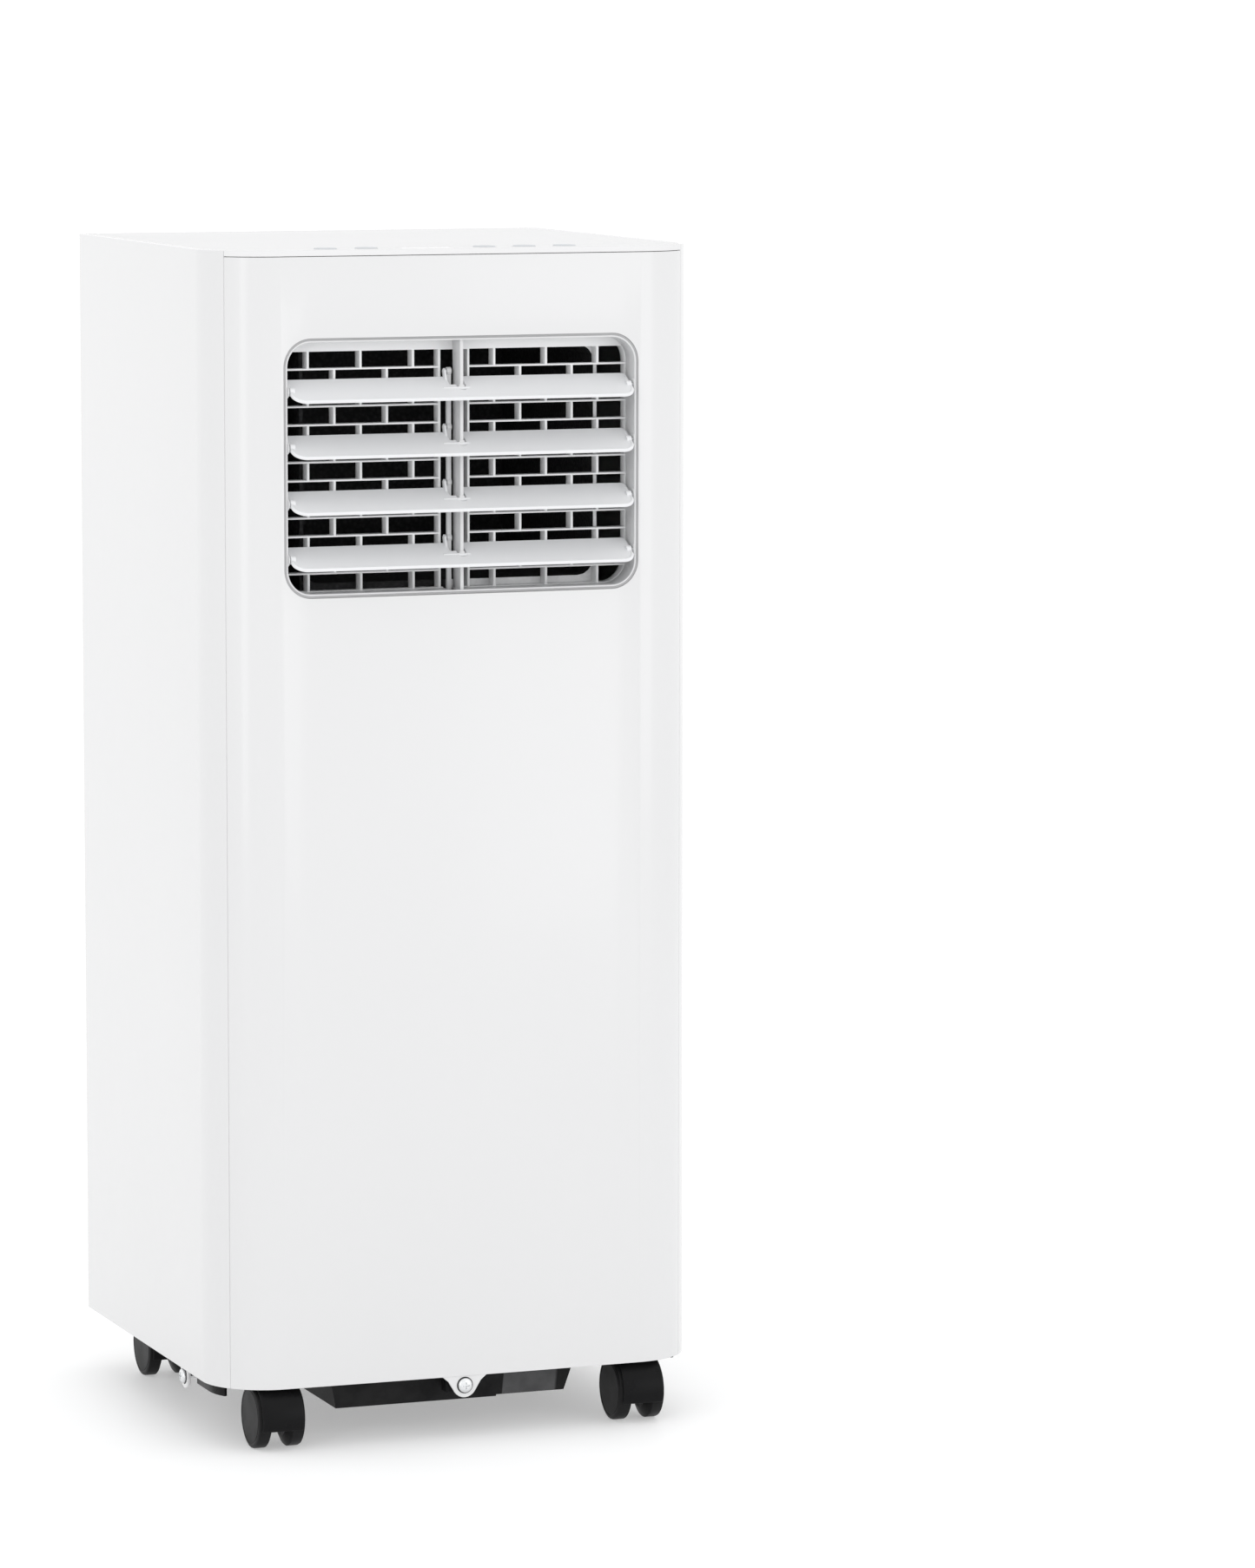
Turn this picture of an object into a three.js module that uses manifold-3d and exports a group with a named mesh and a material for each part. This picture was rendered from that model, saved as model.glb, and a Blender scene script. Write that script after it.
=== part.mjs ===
// A compact upright portable air conditioner on four swivelling casters.
// Millimetres, +Z up, the air outlet faces -Y. The origin is on the floor,
// under the middle of the overall depth with the louvers open.

import * as THREE from 'three';
import { mergeVertices } from 'three/addons/utils/BufferGeometryUtils.js';
import Module from 'manifold-3d';

const wasm = await Module();
wasm.setup();

// ---------------------------------------------------------------- dimensions

const WIDTH = 290;
const DEPTH = 275.2;
const HEIGHT = 679;
const DEPTH_SHIFT = 3.9;
const SHELL_BOTTOM = 36.2;
const WALL = 3.5;
const GAP = 0.3;

const CORNER_R = 37.5;
const BACK_R = 8;
const BOW = 0.8;
const SEAM_ANGLE = 49;
const FRONT_TOP = HEIGHT - 3.6;
const COVER_BOTTOM = FRONT_TOP + GAP;
const REAR_FACE = DEPTH / 2 - 2;
const REAR_HALF_WIDTH = 132.7;
const REAR_FLANGE = 12;

const OUTLET = { halfWidth: 105.5, bottom: 484.8, top: 630, radius: 16 };
const OUTLET_WALL = 2.3;
const DUCT = { halfWidth: 86.9, bottom: 491, top: 622.6, radius: 9.5, skin: 2 };
const GRILLE_FRONT = -121.6;
const GRILLE_DEPTH = 8;
const GRILLE_TOP_BAR = 622.3;
const GRILLE_PITCH = 10.42;
const GRILLE_ROWS = 13;
const GRILLE_BAR = 1.4;
const GRILLE_SLOT = 8.65;
const BRICK = 31.1;

const LOUVER_TOP_Z = 600.4;
const LOUVER_PITCH = 31.27;
const LOUVER_COUNT = 4;
const LOUVER_Y = -134.5;
const LOUVER_HALF = 101.8;
const LOUVER_CHORD = 24;
const LOUVER_THICK = 1.5;
const LOUVER_TILT = 28;
const LINK_PIN = { along: 13.5, above: 3.2 };
const LINK_X = -4.2;
const ARM = { left: -7.5, right: -6 };
const LINK_NOTCH = 3.4;
const SWING_AXIS = { y: LOUVER_Y + 22, z: 462 };

const STRIP_REAR = -107;
const BUTTON_X = [-76, -52, 18, 42, 66];
const BUTTON_R = 6.5;
const BUTTON_Y = -122;
const DISPLAY = { x: -17, y: -122, width: 31, depth: 15 };

const EAR = { screwZ: 30.9, radius: 7.2, shoulder: 0.78, holeR: 2.4 };
const LEFT_EAR_Y = -56;
const EAR_INSET = 2.6;

const PAN_BOTTOM = 38.6;
const PAN_TOP = 42;
const SKIRT_BOTTOM = 30.2;
const SKIRT_REAR = -76;
const TRAY = { left: -71, right: 69, step: 31, front: -117, back: 100, bottom: 18.5 };

const CASTER_X = 109;
const CASTER_FRONT_Y = -110.6;
const CASTER_REAR_Y = 103;
const AXLE_OFFSET = 8;
const WHEEL_R = 18;
const WHEEL_INNER = 3.6;
const WHEEL_OUTER = 13.8;
const HOOD_R = 20.2;

const DECK_Z = 322;
const COLD_FAN = { x: -14, y0: -30, y1: 42, z: 410.5, r: 62 };
const HOT_FAN = { x: 34, y0: 44, y1: 84, z: 146, r: 56 };
const EXHAUST = { x: 34, z: 251, outer: 66, inner: 61, depth: 47 };
const INTAKE = { halfWidth: 112, bottom: 352, top: 640 };
const DRAIN = { x: -100, z: 52 };
const GLAND = { x: 112, z: 60 };
const COMPRESSOR = { x: -68, y: -42, r: 50, bottom: PAN_TOP + 10, height: 165 };

// ----------------------------------------------------------------- materials

const plastic = (color, roughness) => new THREE.MeshStandardMaterial({ color, roughness, metalness: 0 });
const metal = (color, roughness) => new THREE.MeshStandardMaterial({ color, roughness, metalness: 0.9 });

const white = () => plastic(0xf2f3f4, 0.28);
const whiteMatte = () => plastic(0xe6e8ea, 0.45);
const black = () => plastic(0x141414, 0.5);
const darkGlass = () => plastic(0x161c20, 0.08);
const board = () => plastic(0x1d5b34, 0.5);
const foam = () => plastic(0xd9dcd8, 0.9);
const steel = () => metal(0xb9bcc0, 0.3);
const aluminium = () => metal(0xc9ccd0, 0.42);
const copper = () => metal(0xb87048, 0.35);
const darkSteel = () => metal(0x2a2c2f, 0.5);

// ------------------------------------------------------------ solid modelling

function solid(geometry) {
  const plain = geometry.clone();
  plain.deleteAttribute('normal');
  plain.deleteAttribute('uv');
  const merged = mergeVertices(plain, 1e-4);
  return new wasm.Manifold(new wasm.Mesh({
    numProp: 3,
    vertProperties: new Float32Array(merged.attributes.position.array),
    triVerts: new Uint32Array(merged.index.array),
  }));
}

function geometryOf(manifold) {
  const mesh = manifold.getMesh();
  const geometry = new THREE.BufferGeometry();
  geometry.setAttribute('position', new THREE.BufferAttribute(new Float32Array(mesh.vertProperties), 3));
  geometry.setIndex(new THREE.BufferAttribute(new Uint32Array(mesh.triVerts), 1));
  geometry.computeVertexNormals();
  return geometry;
}

const join = (first, ...others) => others.reduce((sum, next) => sum.add(next), first);
const cut = (first, ...others) => others.reduce((rest, next) => rest.subtract(next), first);

const unit = new THREE.Group();
unit.name = 'portable_air_conditioner';
unit.position.y = DEPTH_SHIFT;

function piece(name, material, manifold, parent = unit) {
  const mesh = new THREE.Mesh(geometryOf(manifold), material);
  mesh.name = name;
  parent.add(mesh);
  return mesh;
}

const radians = (degrees) => degrees * Math.PI / 180;

function arc(cx, cy, r, from, to, steps) {
  const points = [];
  for (let i = 0; i <= steps; i += 1) {
    const a = radians(from + (to - from) * i / steps);
    points.push(new THREE.Vector2(cx + r * Math.cos(a), cy + r * Math.sin(a)));
  }
  return points;
}

const mirrored = (points) => points.map((p) => new THREE.Vector2(-p.x, p.y)).reverse();
const vec = (x, y) => new THREE.Vector2(x, y);

// A plan outline (x, y) pulled straight up from z0 to z1.
function upright(points, z0, z1) {
  const geometry = new THREE.ExtrudeGeometry(new THREE.Shape(points), { depth: z1 - z0, bevelEnabled: false });
  geometry.translate(0, 0, z0);
  return solid(geometry);
}

// Front-view outlines (x, z) pulled back from y0 to y1.
function backward(outlines, y0, y1) {
  const list = Array.isArray(outlines[0]) ? outlines : [outlines];
  const shapes = list.map((points) => new THREE.Shape(points));
  const geometry = new THREE.ExtrudeGeometry(shapes, { depth: y1 - y0, bevelEnabled: false });
  geometry.rotateX(Math.PI / 2);
  geometry.translate(0, y1, 0);
  return solid(geometry);
}

// A side-view outline (y, z) pulled sideways from x0 to x1.
function sideways(points, x0, x1) {
  const geometry = new THREE.ExtrudeGeometry(new THREE.Shape(points), { depth: x1 - x0, bevelEnabled: false });
  geometry.rotateY(Math.PI / 2);
  geometry.rotateX(Math.PI / 2);
  geometry.translate(x0, 0, 0);
  return solid(geometry);
}

function box(x0, x1, y0, y1, z0, z1) {
  const geometry = new THREE.BoxGeometry(x1 - x0, y1 - y0, z1 - z0);
  geometry.translate((x0 + x1) / 2, (y0 + y1) / 2, (z0 + z1) / 2);
  return solid(geometry);
}

// A box whose underside is smaller than its top by the draft on each side.
function taperedBox(x0, x1, y0, y1, z0, z1, draft) {
  const geometry = new THREE.BoxGeometry(x1 - x0, y1 - y0, z1 - z0);
  const position = geometry.attributes.position;
  for (let i = 0; i < position.count; i += 1) {
    if (position.getZ(i) < 0) {
      position.setX(i, position.getX(i) - Math.sign(position.getX(i)) * draft);
      position.setY(i, position.getY(i) - Math.sign(position.getY(i)) * draft);
    }
  }
  geometry.translate((x0 + x1) / 2, (y0 + y1) / 2, (z0 + z1) / 2);
  return solid(geometry);
}

function roundedRect(halfWidth, bottom, top, radius, steps = 4) {
  const x = halfWidth - radius;
  return [
    ...arc(x, bottom + radius, radius, -90, 0, steps),
    ...arc(x, top - radius, radius, 0, 90, steps),
    ...arc(-x, top - radius, radius, 90, 180, steps),
    ...arc(-x, bottom + radius, radius, 180, 270, steps),
  ];
}

const shifted = (points, dx, dy) => points.map((p) => vec(p.x + dx, p.y + dy));

function cylinder(r, length, sides, place) {
  const geometry = new THREE.CylinderGeometry(r, r, length, sides);
  if (place.axis === 'x') geometry.rotateZ(Math.PI / 2);
  if (place.axis === 'z') geometry.rotateX(Math.PI / 2);
  geometry.translate(place.x, place.y, place.z);
  return solid(geometry);
}

// A turned piece: profile points are (radius, height), its axis is vertical.
function turned(profile, sides, x = 0, y = 0, z = 0) {
  const geometry = new THREE.LatheGeometry(profile.map(([r, h]) => vec(r, h)), sides);
  geometry.rotateX(Math.PI / 2);
  geometry.translate(x, y, z);
  return solid(geometry);
}

// ------------------------------------------------------------------ the shell

const cornerX = WIDTH / 2 - CORNER_R;
const cornerY = -(DEPTH / 2 - BOW - CORNER_R);
const backX = WIDTH / 2 - BACK_R;
const backY = DEPTH / 2 - BACK_R;

// The bowed front line between the two corner arcs, left to right.
function bowLine(inset) {
  const points = [];
  for (let i = 1; i < 8; i += 1) {
    const t = -1 + i / 4;
    points.push(vec(cornerX * t, -DEPTH / 2 + BOW * t * t + inset));
  }
  return points;
}

// The front outline, from the left seam round to the right seam.
function frontLine(inset, seam = SEAM_ANGLE) {
  const right = arc(cornerX, cornerY, CORNER_R - inset, -90, -90 + seam, 5);
  return [...mirrored(right), ...bowLine(inset), ...right];
}

// The right side outline, from the front seam to the end of the rear flange.
function sideLine(inset) {
  const start = SEAM_ANGLE + 180 / Math.PI * GAP / CORNER_R;
  return [
    ...arc(cornerX, cornerY, CORNER_R - inset, -90 + start, 0, 4),
    ...arc(backX, backY, BACK_R - inset, 0, 90, 3),
    vec(backX - REAR_FLANGE + BACK_R, DEPTH / 2 - inset),
  ];
}

// A bell-shaped ear that hangs below a panel and takes one screw.
function screwEar(halfWidth) {
  const top = SHELL_BOTTOM + 2;
  const shoulder = halfWidth * EAR.shoulder;
  return [
    vec(halfWidth, top),
    vec(-halfWidth, top),
    vec(-shoulder, SHELL_BOTTOM - 2.5),
    ...arc(0, EAR.screwZ, EAR.radius, 195, 345, 6),
    vec(shoulder, SHELL_BOTTOM - 2.5),
  ];
}

function frontPanel() {
  const wall = upright([...frontLine(0), ...frontLine(WALL - 1).reverse()], SHELL_BOTTOM, FRONT_TOP);
  const { halfWidth, bottom, top, radius } = OUTLET;
  const opening = backward(roundedRect(halfWidth, bottom, top, radius), -DEPTH / 2 - 5, -DEPTH / 2 + 8);
  const front = -DEPTH / 2 + 0.4;
  const ear = backward(screwEar(13.6), front, front + 2);
  const hole = cylinder(EAR.holeR, 20, 12, { x: 0, y: front, z: EAR.screwZ });
  return cut(join(wall, ear), opening, hole);
}

function rightPanel() {
  const wall = upright([...sideLine(0), ...sideLine(WALL).reverse()], SHELL_BOTTOM, HEIGHT);
  const outer = WIDTH / 2 - EAR_INSET;
  const ear = sideways(shifted(screwEar(9), LEFT_EAR_Y, 0), outer - 2, outer);
  const hole = cylinder(EAR.holeR, 20, 12, { x: outer, y: LEFT_EAR_Y, z: EAR.screwZ, axis: 'x' });
  return cut(join(wall, ear), hole);
}

const COVER_R = CORNER_R - WALL - GAP;
const stripAngle = Math.asin((STRIP_REAR - cornerY) / COVER_R) * 180 / Math.PI;

function controlOutline() {
  const right = arc(cornerX, cornerY, COVER_R, -90 + SEAM_ANGLE, stripAngle, 4);
  return [...frontLine(0), ...right, ...mirrored(right)];
}

function controlPanel() {
  let strip = upright(controlOutline(), COVER_BOTTOM, HEIGHT);
  const { x, y, width, depth } = DISPLAY;
  strip = cut(strip, box(x - width / 2 - GAP, x + width / 2 + GAP, y - depth / 2 - GAP, y + depth / 2 + GAP,
    COVER_BOTTOM - 1, HEIGHT + 1));
  for (const bx of BUTTON_X) {
    strip = cut(strip, cylinder(BUTTON_R + GAP, 20, 14, { x: bx, y: BUTTON_Y, z: HEIGHT, axis: 'z' }));
  }
  return strip;
}

function topCover() {
  const side = WIDTH / 2 - WALL - GAP;
  const rear = REAR_FACE - WALL - GAP;
  const right = [
    ...arc(cornerX, cornerY, COVER_R, stripAngle + 0.5, 0, 3),
    vec(side, rear - BACK_R),
    vec(side - BACK_R / 2, rear),
  ];
  const plate = upright([...mirrored(right), ...right], COVER_BOTTOM, HEIGHT);
  const rib = box(-side + 20, side - 20, STRIP_REAR + 30, rear - 30, COVER_BOTTOM - 6, COVER_BOTTOM + 1);
  const hollow = box(-side + 23, side - 23, STRIP_REAR + 33, rear - 33, COVER_BOTTOM - 8, COVER_BOTTOM);
  return cut(join(plate, rib), hollow);
}

function rearPanel() {
  const inner = REAR_FACE - WALL;
  let panel = box(-REAR_HALF_WIDTH, REAR_HALF_WIDTH, inner, REAR_FACE, SHELL_BOTTOM + 2, HEIGHT);
  const { halfWidth, bottom, top } = INTAKE;
  panel = cut(panel, box(-halfWidth, halfWidth, inner - 5, REAR_FACE + 5, bottom, top));
  panel = cut(panel, cylinder(EXHAUST.outer + GAP, 30, 32, { x: EXHAUST.x, y: REAR_FACE, z: EXHAUST.z }));
  for (let row = 0; row < 10; row += 1) {
    const z = 74 + row * 11;
    for (const x of [-50, 50]) panel = cut(panel, box(x - 46, x + 46, inner - 5, REAR_FACE + 5, z, z + 6));
  }
  panel = cut(panel, cylinder(7.2, 30, 12, { x: DRAIN.x, y: REAR_FACE, z: DRAIN.z }));
  return cut(panel, cylinder(7.8, 30, 12, { x: GLAND.x, y: REAR_FACE, z: GLAND.z }));
}

// ------------------------------------------------------------- control panel

function buttonCap(x) {
  const cap = turned([[0, -3], [BUTTON_R, -3], [BUTTON_R, 0.2], [BUTTON_R - 0.6, 0.7], [0, 0.7]],
    14, x, BUTTON_Y, HEIGHT);
  return join(cap, cylinder(1.8, 7, 8, { x, y: BUTTON_Y, z: HEIGHT - 6, axis: 'z' }));
}

function controlBoard() {
  const z = HEIGHT - 15;
  let sheet = box(-96, 96, -131, -112, z, z + 1.6);
  for (const x of BUTTON_X) sheet = join(sheet, box(x - 3, x + 3, BUTTON_Y - 3, BUTTON_Y + 3, z + 1, z + 3.6));
  return join(sheet, box(DISPLAY.x - 13, DISPLAY.x + 13, DISPLAY.y - 6, DISPLAY.y + 6, z + 1, z + 8));
}

// ----------------------------------------------------------------- air outlet

function brickHoles() {
  const half = GRILLE_BAR / 2;
  const wall = OUTLET.halfWidth - OUTLET_WALL;
  const holes = [];
  const addHole = (x0, x1, z0, z1) => {
    holes.push([vec(x0, z0), vec(x1, z0), vec(x1, z1), vec(x0, z1)]);
    holes.push([vec(-x1, z0), vec(-x0, z0), vec(-x0, z1), vec(-x1, z1)]);
  };
  for (let row = 0; row < GRILLE_ROWS; row += 1) {
    const z1 = GRILLE_TOP_BAR - row * GRILLE_PITCH - half;
    const z0 = z1 - GRILLE_PITCH + GRILLE_BAR;
    const first = GRILLE_SLOT + BRICK * (row % 2 === 0 ? 0.5 : 1);
    const joints = [GRILLE_SLOT];
    for (let x = first; x < wall - 3; x += BRICK) joints.push(x);
    joints.push(wall + half);
    for (let i = 0; i + 1 < joints.length; i += 1) addHole(joints[i] + half, joints[i + 1] - half, z0, z1);
  }
  return holes;
}

const outletOuter = () => roundedRect(OUTLET.halfWidth - GAP, OUTLET.bottom + GAP,
  OUTLET.top - GAP, OUTLET.radius - GAP);
const outletInner = () => roundedRect(OUTLET.halfWidth - OUTLET_WALL, OUTLET.bottom + OUTLET_WALL,
  OUTLET.top - OUTLET_WALL, OUTLET.radius - OUTLET_WALL, 3);

// The rounded pocket that carries the louvers, with the post that splits it.
function outletFrame() {
  const { bottom, top } = OUTLET;
  const rim = -DEPTH / 2 + BOW + 0.1;
  const rear = GRILLE_FRONT - GAP;
  const pocket = cut(backward(outletOuter(), rim, rear), backward(outletInner(), rim - 1, rear + 1));
  const post = box(-1, 1.1, LOUVER_Y - 0.4, rear, bottom + 1, top - 1);
  let frame = join(pocket, post);
  for (let i = 0; i < LOUVER_COUNT; i += 1) {
    const z = LOUVER_TOP_Z - i * LOUVER_PITCH;
    frame = cut(frame, cylinder(1.6, 3 * WIDTH, 8, { x: 0, y: LOUVER_Y, z, axis: 'x' }));
  }
  return cut(frame, box(LINK_X - 2.4, LINK_X + 2.4, LOUVER_Y - 0.9, rear + 1, bottom - 1, bottom + 4));
}

// The brick-pattern grille behind the pocket, with a tall slot for the louver bar.
function outletGrille() {
  const back = GRILLE_FRONT + GRILLE_DEPTH;
  const room = backward(outletInner(), GRILLE_FRONT - 1, back + 1);
  const windows = backward(brickHoles(), GRILLE_FRONT - 1, back + 1).intersect(room);
  const zTop = GRILLE_TOP_BAR - GRILLE_BAR / 2;
  const zLow = GRILLE_TOP_BAR - GRILLE_ROWS * GRILLE_PITCH + GRILLE_BAR / 2;
  const half = GRILLE_SLOT - GRILLE_BAR / 2;
  const slot = box(-half, half, GRILLE_FRONT - 1, back + 1, zLow, zTop);
  const barWay = box(LINK_X - 2.4, LINK_X + 2.4, GRILLE_FRONT - 1, back + 1, OUTLET.bottom - 1, zLow + 1);
  return cut(backward(outletOuter(), GRILLE_FRONT, back), windows, slot, barWay);
}

function outletDuct() {
  const y0 = GRILLE_FRONT + GRILLE_DEPTH + GAP;
  const { halfWidth, bottom, top, radius, skin } = DUCT;
  const outer = backward(roundedRect(halfWidth + skin, 478, 640, 4), y0, 44);
  const inner = backward(roundedRect(halfWidth, bottom, top, radius), y0 - 1, 41.5);
  const throat = box(-60, 74, COLD_FAN.y0 + 3, COLD_FAN.y1 - 3, 470, bottom + 2);
  return cut(outer, inner, throat);
}

// Blade outline seen from above, hinge line at y = 0, its rear edge at +y.
function bladeOutline() {
  const half = LOUVER_CHORD / 2;
  const right = [
    ...arc(LOUVER_HALF - 8, -half + 8, 8, -90, 0, 5),
    ...arc(LOUVER_HALF - 3, half - 3, 3, 0, 90, 3),
  ];
  return [
    ...right,
    vec(3, half), vec(3, -2.8), vec(-2.2, -2.8), vec(-2.2, LINK_NOTCH),
    vec(ARM.right, LINK_NOTCH), vec(ARM.right, half),
    ...mirrored(right),
  ];
}

function louver() {
  const blade = upright(bladeOutline(), -LOUVER_THICK / 2, LOUVER_THICK / 2);
  const hinge = cylinder(1.1, 16, 8, { x: -3, y: 0, z: 0, axis: 'x' });
  const pins = [-1, 1].map((side) => join(
    cylinder(1.15, 4.6, 8, { x: side * (LOUVER_HALF + 0.9), y: 0, z: 0, axis: 'x' }),
    cylinder(2.4, 3, 8, { x: side * (LOUVER_HALF - 1.7), y: 0, z: 0, axis: 'x' }),
  ));
  const { along, above } = LINK_PIN;
  const arm = sideways([vec(6, -0.5), vec(12, -0.5), vec(along + 1.6, above - 0.6), vec(along + 0.9, above + 1.6),
    vec(along - 1.2, above + 1.6)], ARM.left, ARM.right);
  const pin = cylinder(0.9, 4.6, 8, { x: LINK_X - 0.9, y: along, z: above, axis: 'x' });
  return join(blade, hinge, ...pins, arm, pin);
}

// Where a blade's link pin sits behind and above its hinge line at rest.
const tilt = radians(LOUVER_TILT);
const pinY = LINK_PIN.along * Math.cos(tilt) - LINK_PIN.above * Math.sin(tilt);
const pinZ = LINK_PIN.along * Math.sin(tilt) + LINK_PIN.above * Math.cos(tilt);

function louverLink() {
  const y = LOUVER_Y + pinY;
  const top = LOUVER_TOP_Z + pinZ;
  const foot = SWING_AXIS.z + pinZ;
  const x0 = LINK_X - 1.2;
  const x1 = LINK_X + 1.2;
  let bar = box(x0, x1, y - 1.2, y + 1.2, foot - 1.2, top);
  bar = join(bar, box(x0, x1, y - 1.2, SWING_AXIS.y + pinY, foot - 1.2, foot + 1.2));
  const eyes = [vec(SWING_AXIS.y + pinY, foot)];
  for (let i = 0; i < LOUVER_COUNT; i += 1) eyes.push(vec(y, top - i * LOUVER_PITCH));
  for (const eye of eyes) bar = join(bar, cylinder(2.3, 2.4, 10, { x: LINK_X, y: eye.x, z: eye.y, axis: 'x' }));
  for (const eye of eyes) bar = cut(bar, cylinder(1.25, 10, 8, { x: LINK_X, y: eye.x, z: eye.y, axis: 'x' }));
  return bar;
}

function swingMotor() {
  const { y, z } = SWING_AXIS;
  const can = cylinder(13, 17, 16, { x: -21.5, y, z, axis: 'x' });
  const ears = box(-15, -13.6, y - 20, y + 20, z - 3.5, z + 3.5);
  return join(can, ears, cylinder(1.6, 3.4, 10, { x: -11.9, y, z, axis: 'x' }));
}

function swingCrank() {
  const { y, z } = SWING_AXIS;
  const web = sideways([vec(y - 3, z - 3), vec(y + 3, z - 3), vec(y + pinY + 2, z + pinZ - 1),
    vec(y + pinY + 1, z + pinZ + 2), vec(y + pinY - 2, z + pinZ + 1.6), vec(y - 3, z + 3)], ARM.left, ARM.right);
  const hub = cylinder(2.8, 3, 12, { x: ARM.left - 0.6, y, z, axis: 'x' });
  return join(web, hub, cylinder(0.9, 4.6, 10, { x: LINK_X - 0.9, y: y + pinY, z: z + pinZ, axis: 'x' }));
}

// ------------------------------------------------------------ fans and coils

// Scroll outline around a wheel, growing from the cut-off round to the throat.
function scroll(r0, r1, throat, grow = 0) {
  const points = [];
  for (let i = 0; i <= 14; i += 1) {
    const t = i / 14;
    const a = radians(135 + 225 * t);
    const r = r0 + (r1 - r0) * t + grow;
    points.push(vec(r * Math.cos(a), r * Math.sin(a)));
  }
  points.push(vec(r1 + grow, throat));
  points.push(vec((r0 + grow) * Math.cos(radians(135)), throat));
  return points;
}

// The housing is open at its throat when lidded is 0, closed by a lid otherwise.
function volute(fan, r0, r1, throat, inletR, lidded) {
  const skin = 2.5;
  const outer = backward(shifted(scroll(r0, r1, throat, skin), fan.x, fan.z), fan.y0 - 5, fan.y1 + 5);
  const room = scroll(r0, r1, lidded ? throat - skin : throat + 8);
  const inner = backward(shifted(room, fan.x, fan.z), fan.y0 - skin, fan.y1 + skin);
  const inlet = cylinder(inletR, 20, 20, { x: fan.x, y: fan.y1, z: fan.z });
  const shaft = cylinder(6, 20, 12, { x: fan.x, y: fan.y0 - 5, z: fan.z });
  return cut(outer, inner, inlet, shaft);
}

function condenserVolute() {
  const port = cylinder(EXHAUST.inner - 11, 20, 24, { x: EXHAUST.x, y: HOT_FAN.y1, z: EXHAUST.z - 4 });
  return cut(volute(HOT_FAN, 60, 78, 156, 40, true), port);
}

function blowerWheel(fan, blades) {
  const depth = fan.y1 - fan.y0;
  const back = turned([[0, 0], [fan.r, 0], [fan.r, 2], [0, 2]], 20);
  const ring = turned([[fan.r - 9, depth - 3], [fan.r, depth - 3], [fan.r, depth], [fan.r - 9, depth],
    [fan.r - 9, depth - 3]], 20);
  const hub = turned([[0, 0], [9, 0], [9, 16], [0, 16]], 12);
  let wheel = cut(join(back, ring, hub), cylinder(2.8, 60, 10, { x: 0, y: 0, z: 0, axis: 'z' }));
  for (let i = 0; i < blades; i += 1) {
    const blade = new THREE.BoxGeometry(8, 1.2, depth - 2);
    blade.rotateZ(0.5);
    blade.translate(fan.r - 5, 0, depth / 2);
    blade.rotateZ(2 * Math.PI * i / blades);
    wheel = join(wheel, solid(blade));
  }
  const geometry = geometryOf(wheel);
  geometry.rotateX(-Math.PI / 2);
  geometry.translate(fan.x, fan.y0, fan.z);
  return solid(geometry);
}

function fanMotor(fan, r, length) {
  const face = fan.y0 - 5 - GAP;
  const can = cylinder(r, length, 18, { x: fan.x, y: face - length / 2, z: fan.z });
  const shaftEnd = fan.y0 + 14;
  const shaft = cylinder(2.4, shaftEnd - face + 2, 12, { x: fan.x, y: (shaftEnd + face - 2) / 2, z: fan.z });
  return join(can, shaft);
}

// A finned block with grooves on both faces and bare return bends at one end.
function coil(x0, x1, y0, y1, z0, z1, grooves, bends) {
  let block = box(x0, x1, y0, y1, z0, z1);
  for (let i = 0; i < grooves; i += 1) {
    const x = x0 + (x1 - x0) * (i + 0.5) / grooves;
    block = cut(block, box(x - 1.2, x + 1.2, y0 - 1, y0 + 4, z0 - 1, z1 + 1));
  }
  for (let i = 0; i < bends; i += 1) {
    const z = z0 + (z1 - z0) * (i + 0.5) / bends;
    block = join(block, box(x1 - 1, x1 + 7, (y0 + y1) / 2 - 4, (y0 + y1) / 2 + 4, z - 4, z + 4));
  }
  return block;
}

function intakeFilter() {
  const { halfWidth, bottom, top } = INTAKE;
  const w = halfWidth - GAP;
  const rear = REAR_FACE;
  const holes = [];
  const columns = 3;
  const rows = 6;
  const stepX = (2 * w - 12) / columns;
  const stepZ = (top - bottom - 12) / rows;
  for (let c = 0; c < columns; c += 1) {
    for (let r = 0; r < rows; r += 1) {
      const x = -w + 6 + c * stepX + 1.5;
      const z = bottom + 6 + r * stepZ + 1.5;
      holes.push([vec(x, z), vec(x + stepX - 3, z), vec(x + stepX - 3, z + stepZ - 3), vec(x, z + stepZ - 3)]);
    }
  }
  const outline = roundedRect(w, bottom + GAP, top - GAP, 4, 2);
  const frame = cut(backward(outline, rear - 4, rear), backward(holes, rear - 6, rear + 1));
  const mesh = box(-w + 3, w - 3, rear - 5, rear - 3.4, bottom + 4, top - 4);
  const pull = box(-20, 20, rear - 1, DEPTH / 2, top - 8, top - 4);
  return join(frame, mesh, pull);
}

function exhaustCollar() {
  const { x, z, outer, inner, depth } = EXHAUST;
  const ring = turned([[inner, 0], [outer, 0], [outer, depth], [inner, depth], [inner, 0]], 32);
  const geometry = geometryOf(ring);
  geometry.rotateX(-Math.PI / 2);
  geometry.translate(x, DEPTH / 2 - depth, z);
  let collar = solid(geometry);
  for (const across of [-22, 0, 22]) {
    const half = Math.sqrt(inner * inner - across * across) + 2;
    const bar = box(x + across - 1, x + across + 1, DEPTH / 2 - 12, DEPTH / 2 - 9, z - half, z + half);
    collar = join(collar, bar);
  }
  return collar;
}

// ----------------------------------------------------------- lower machinery

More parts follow.
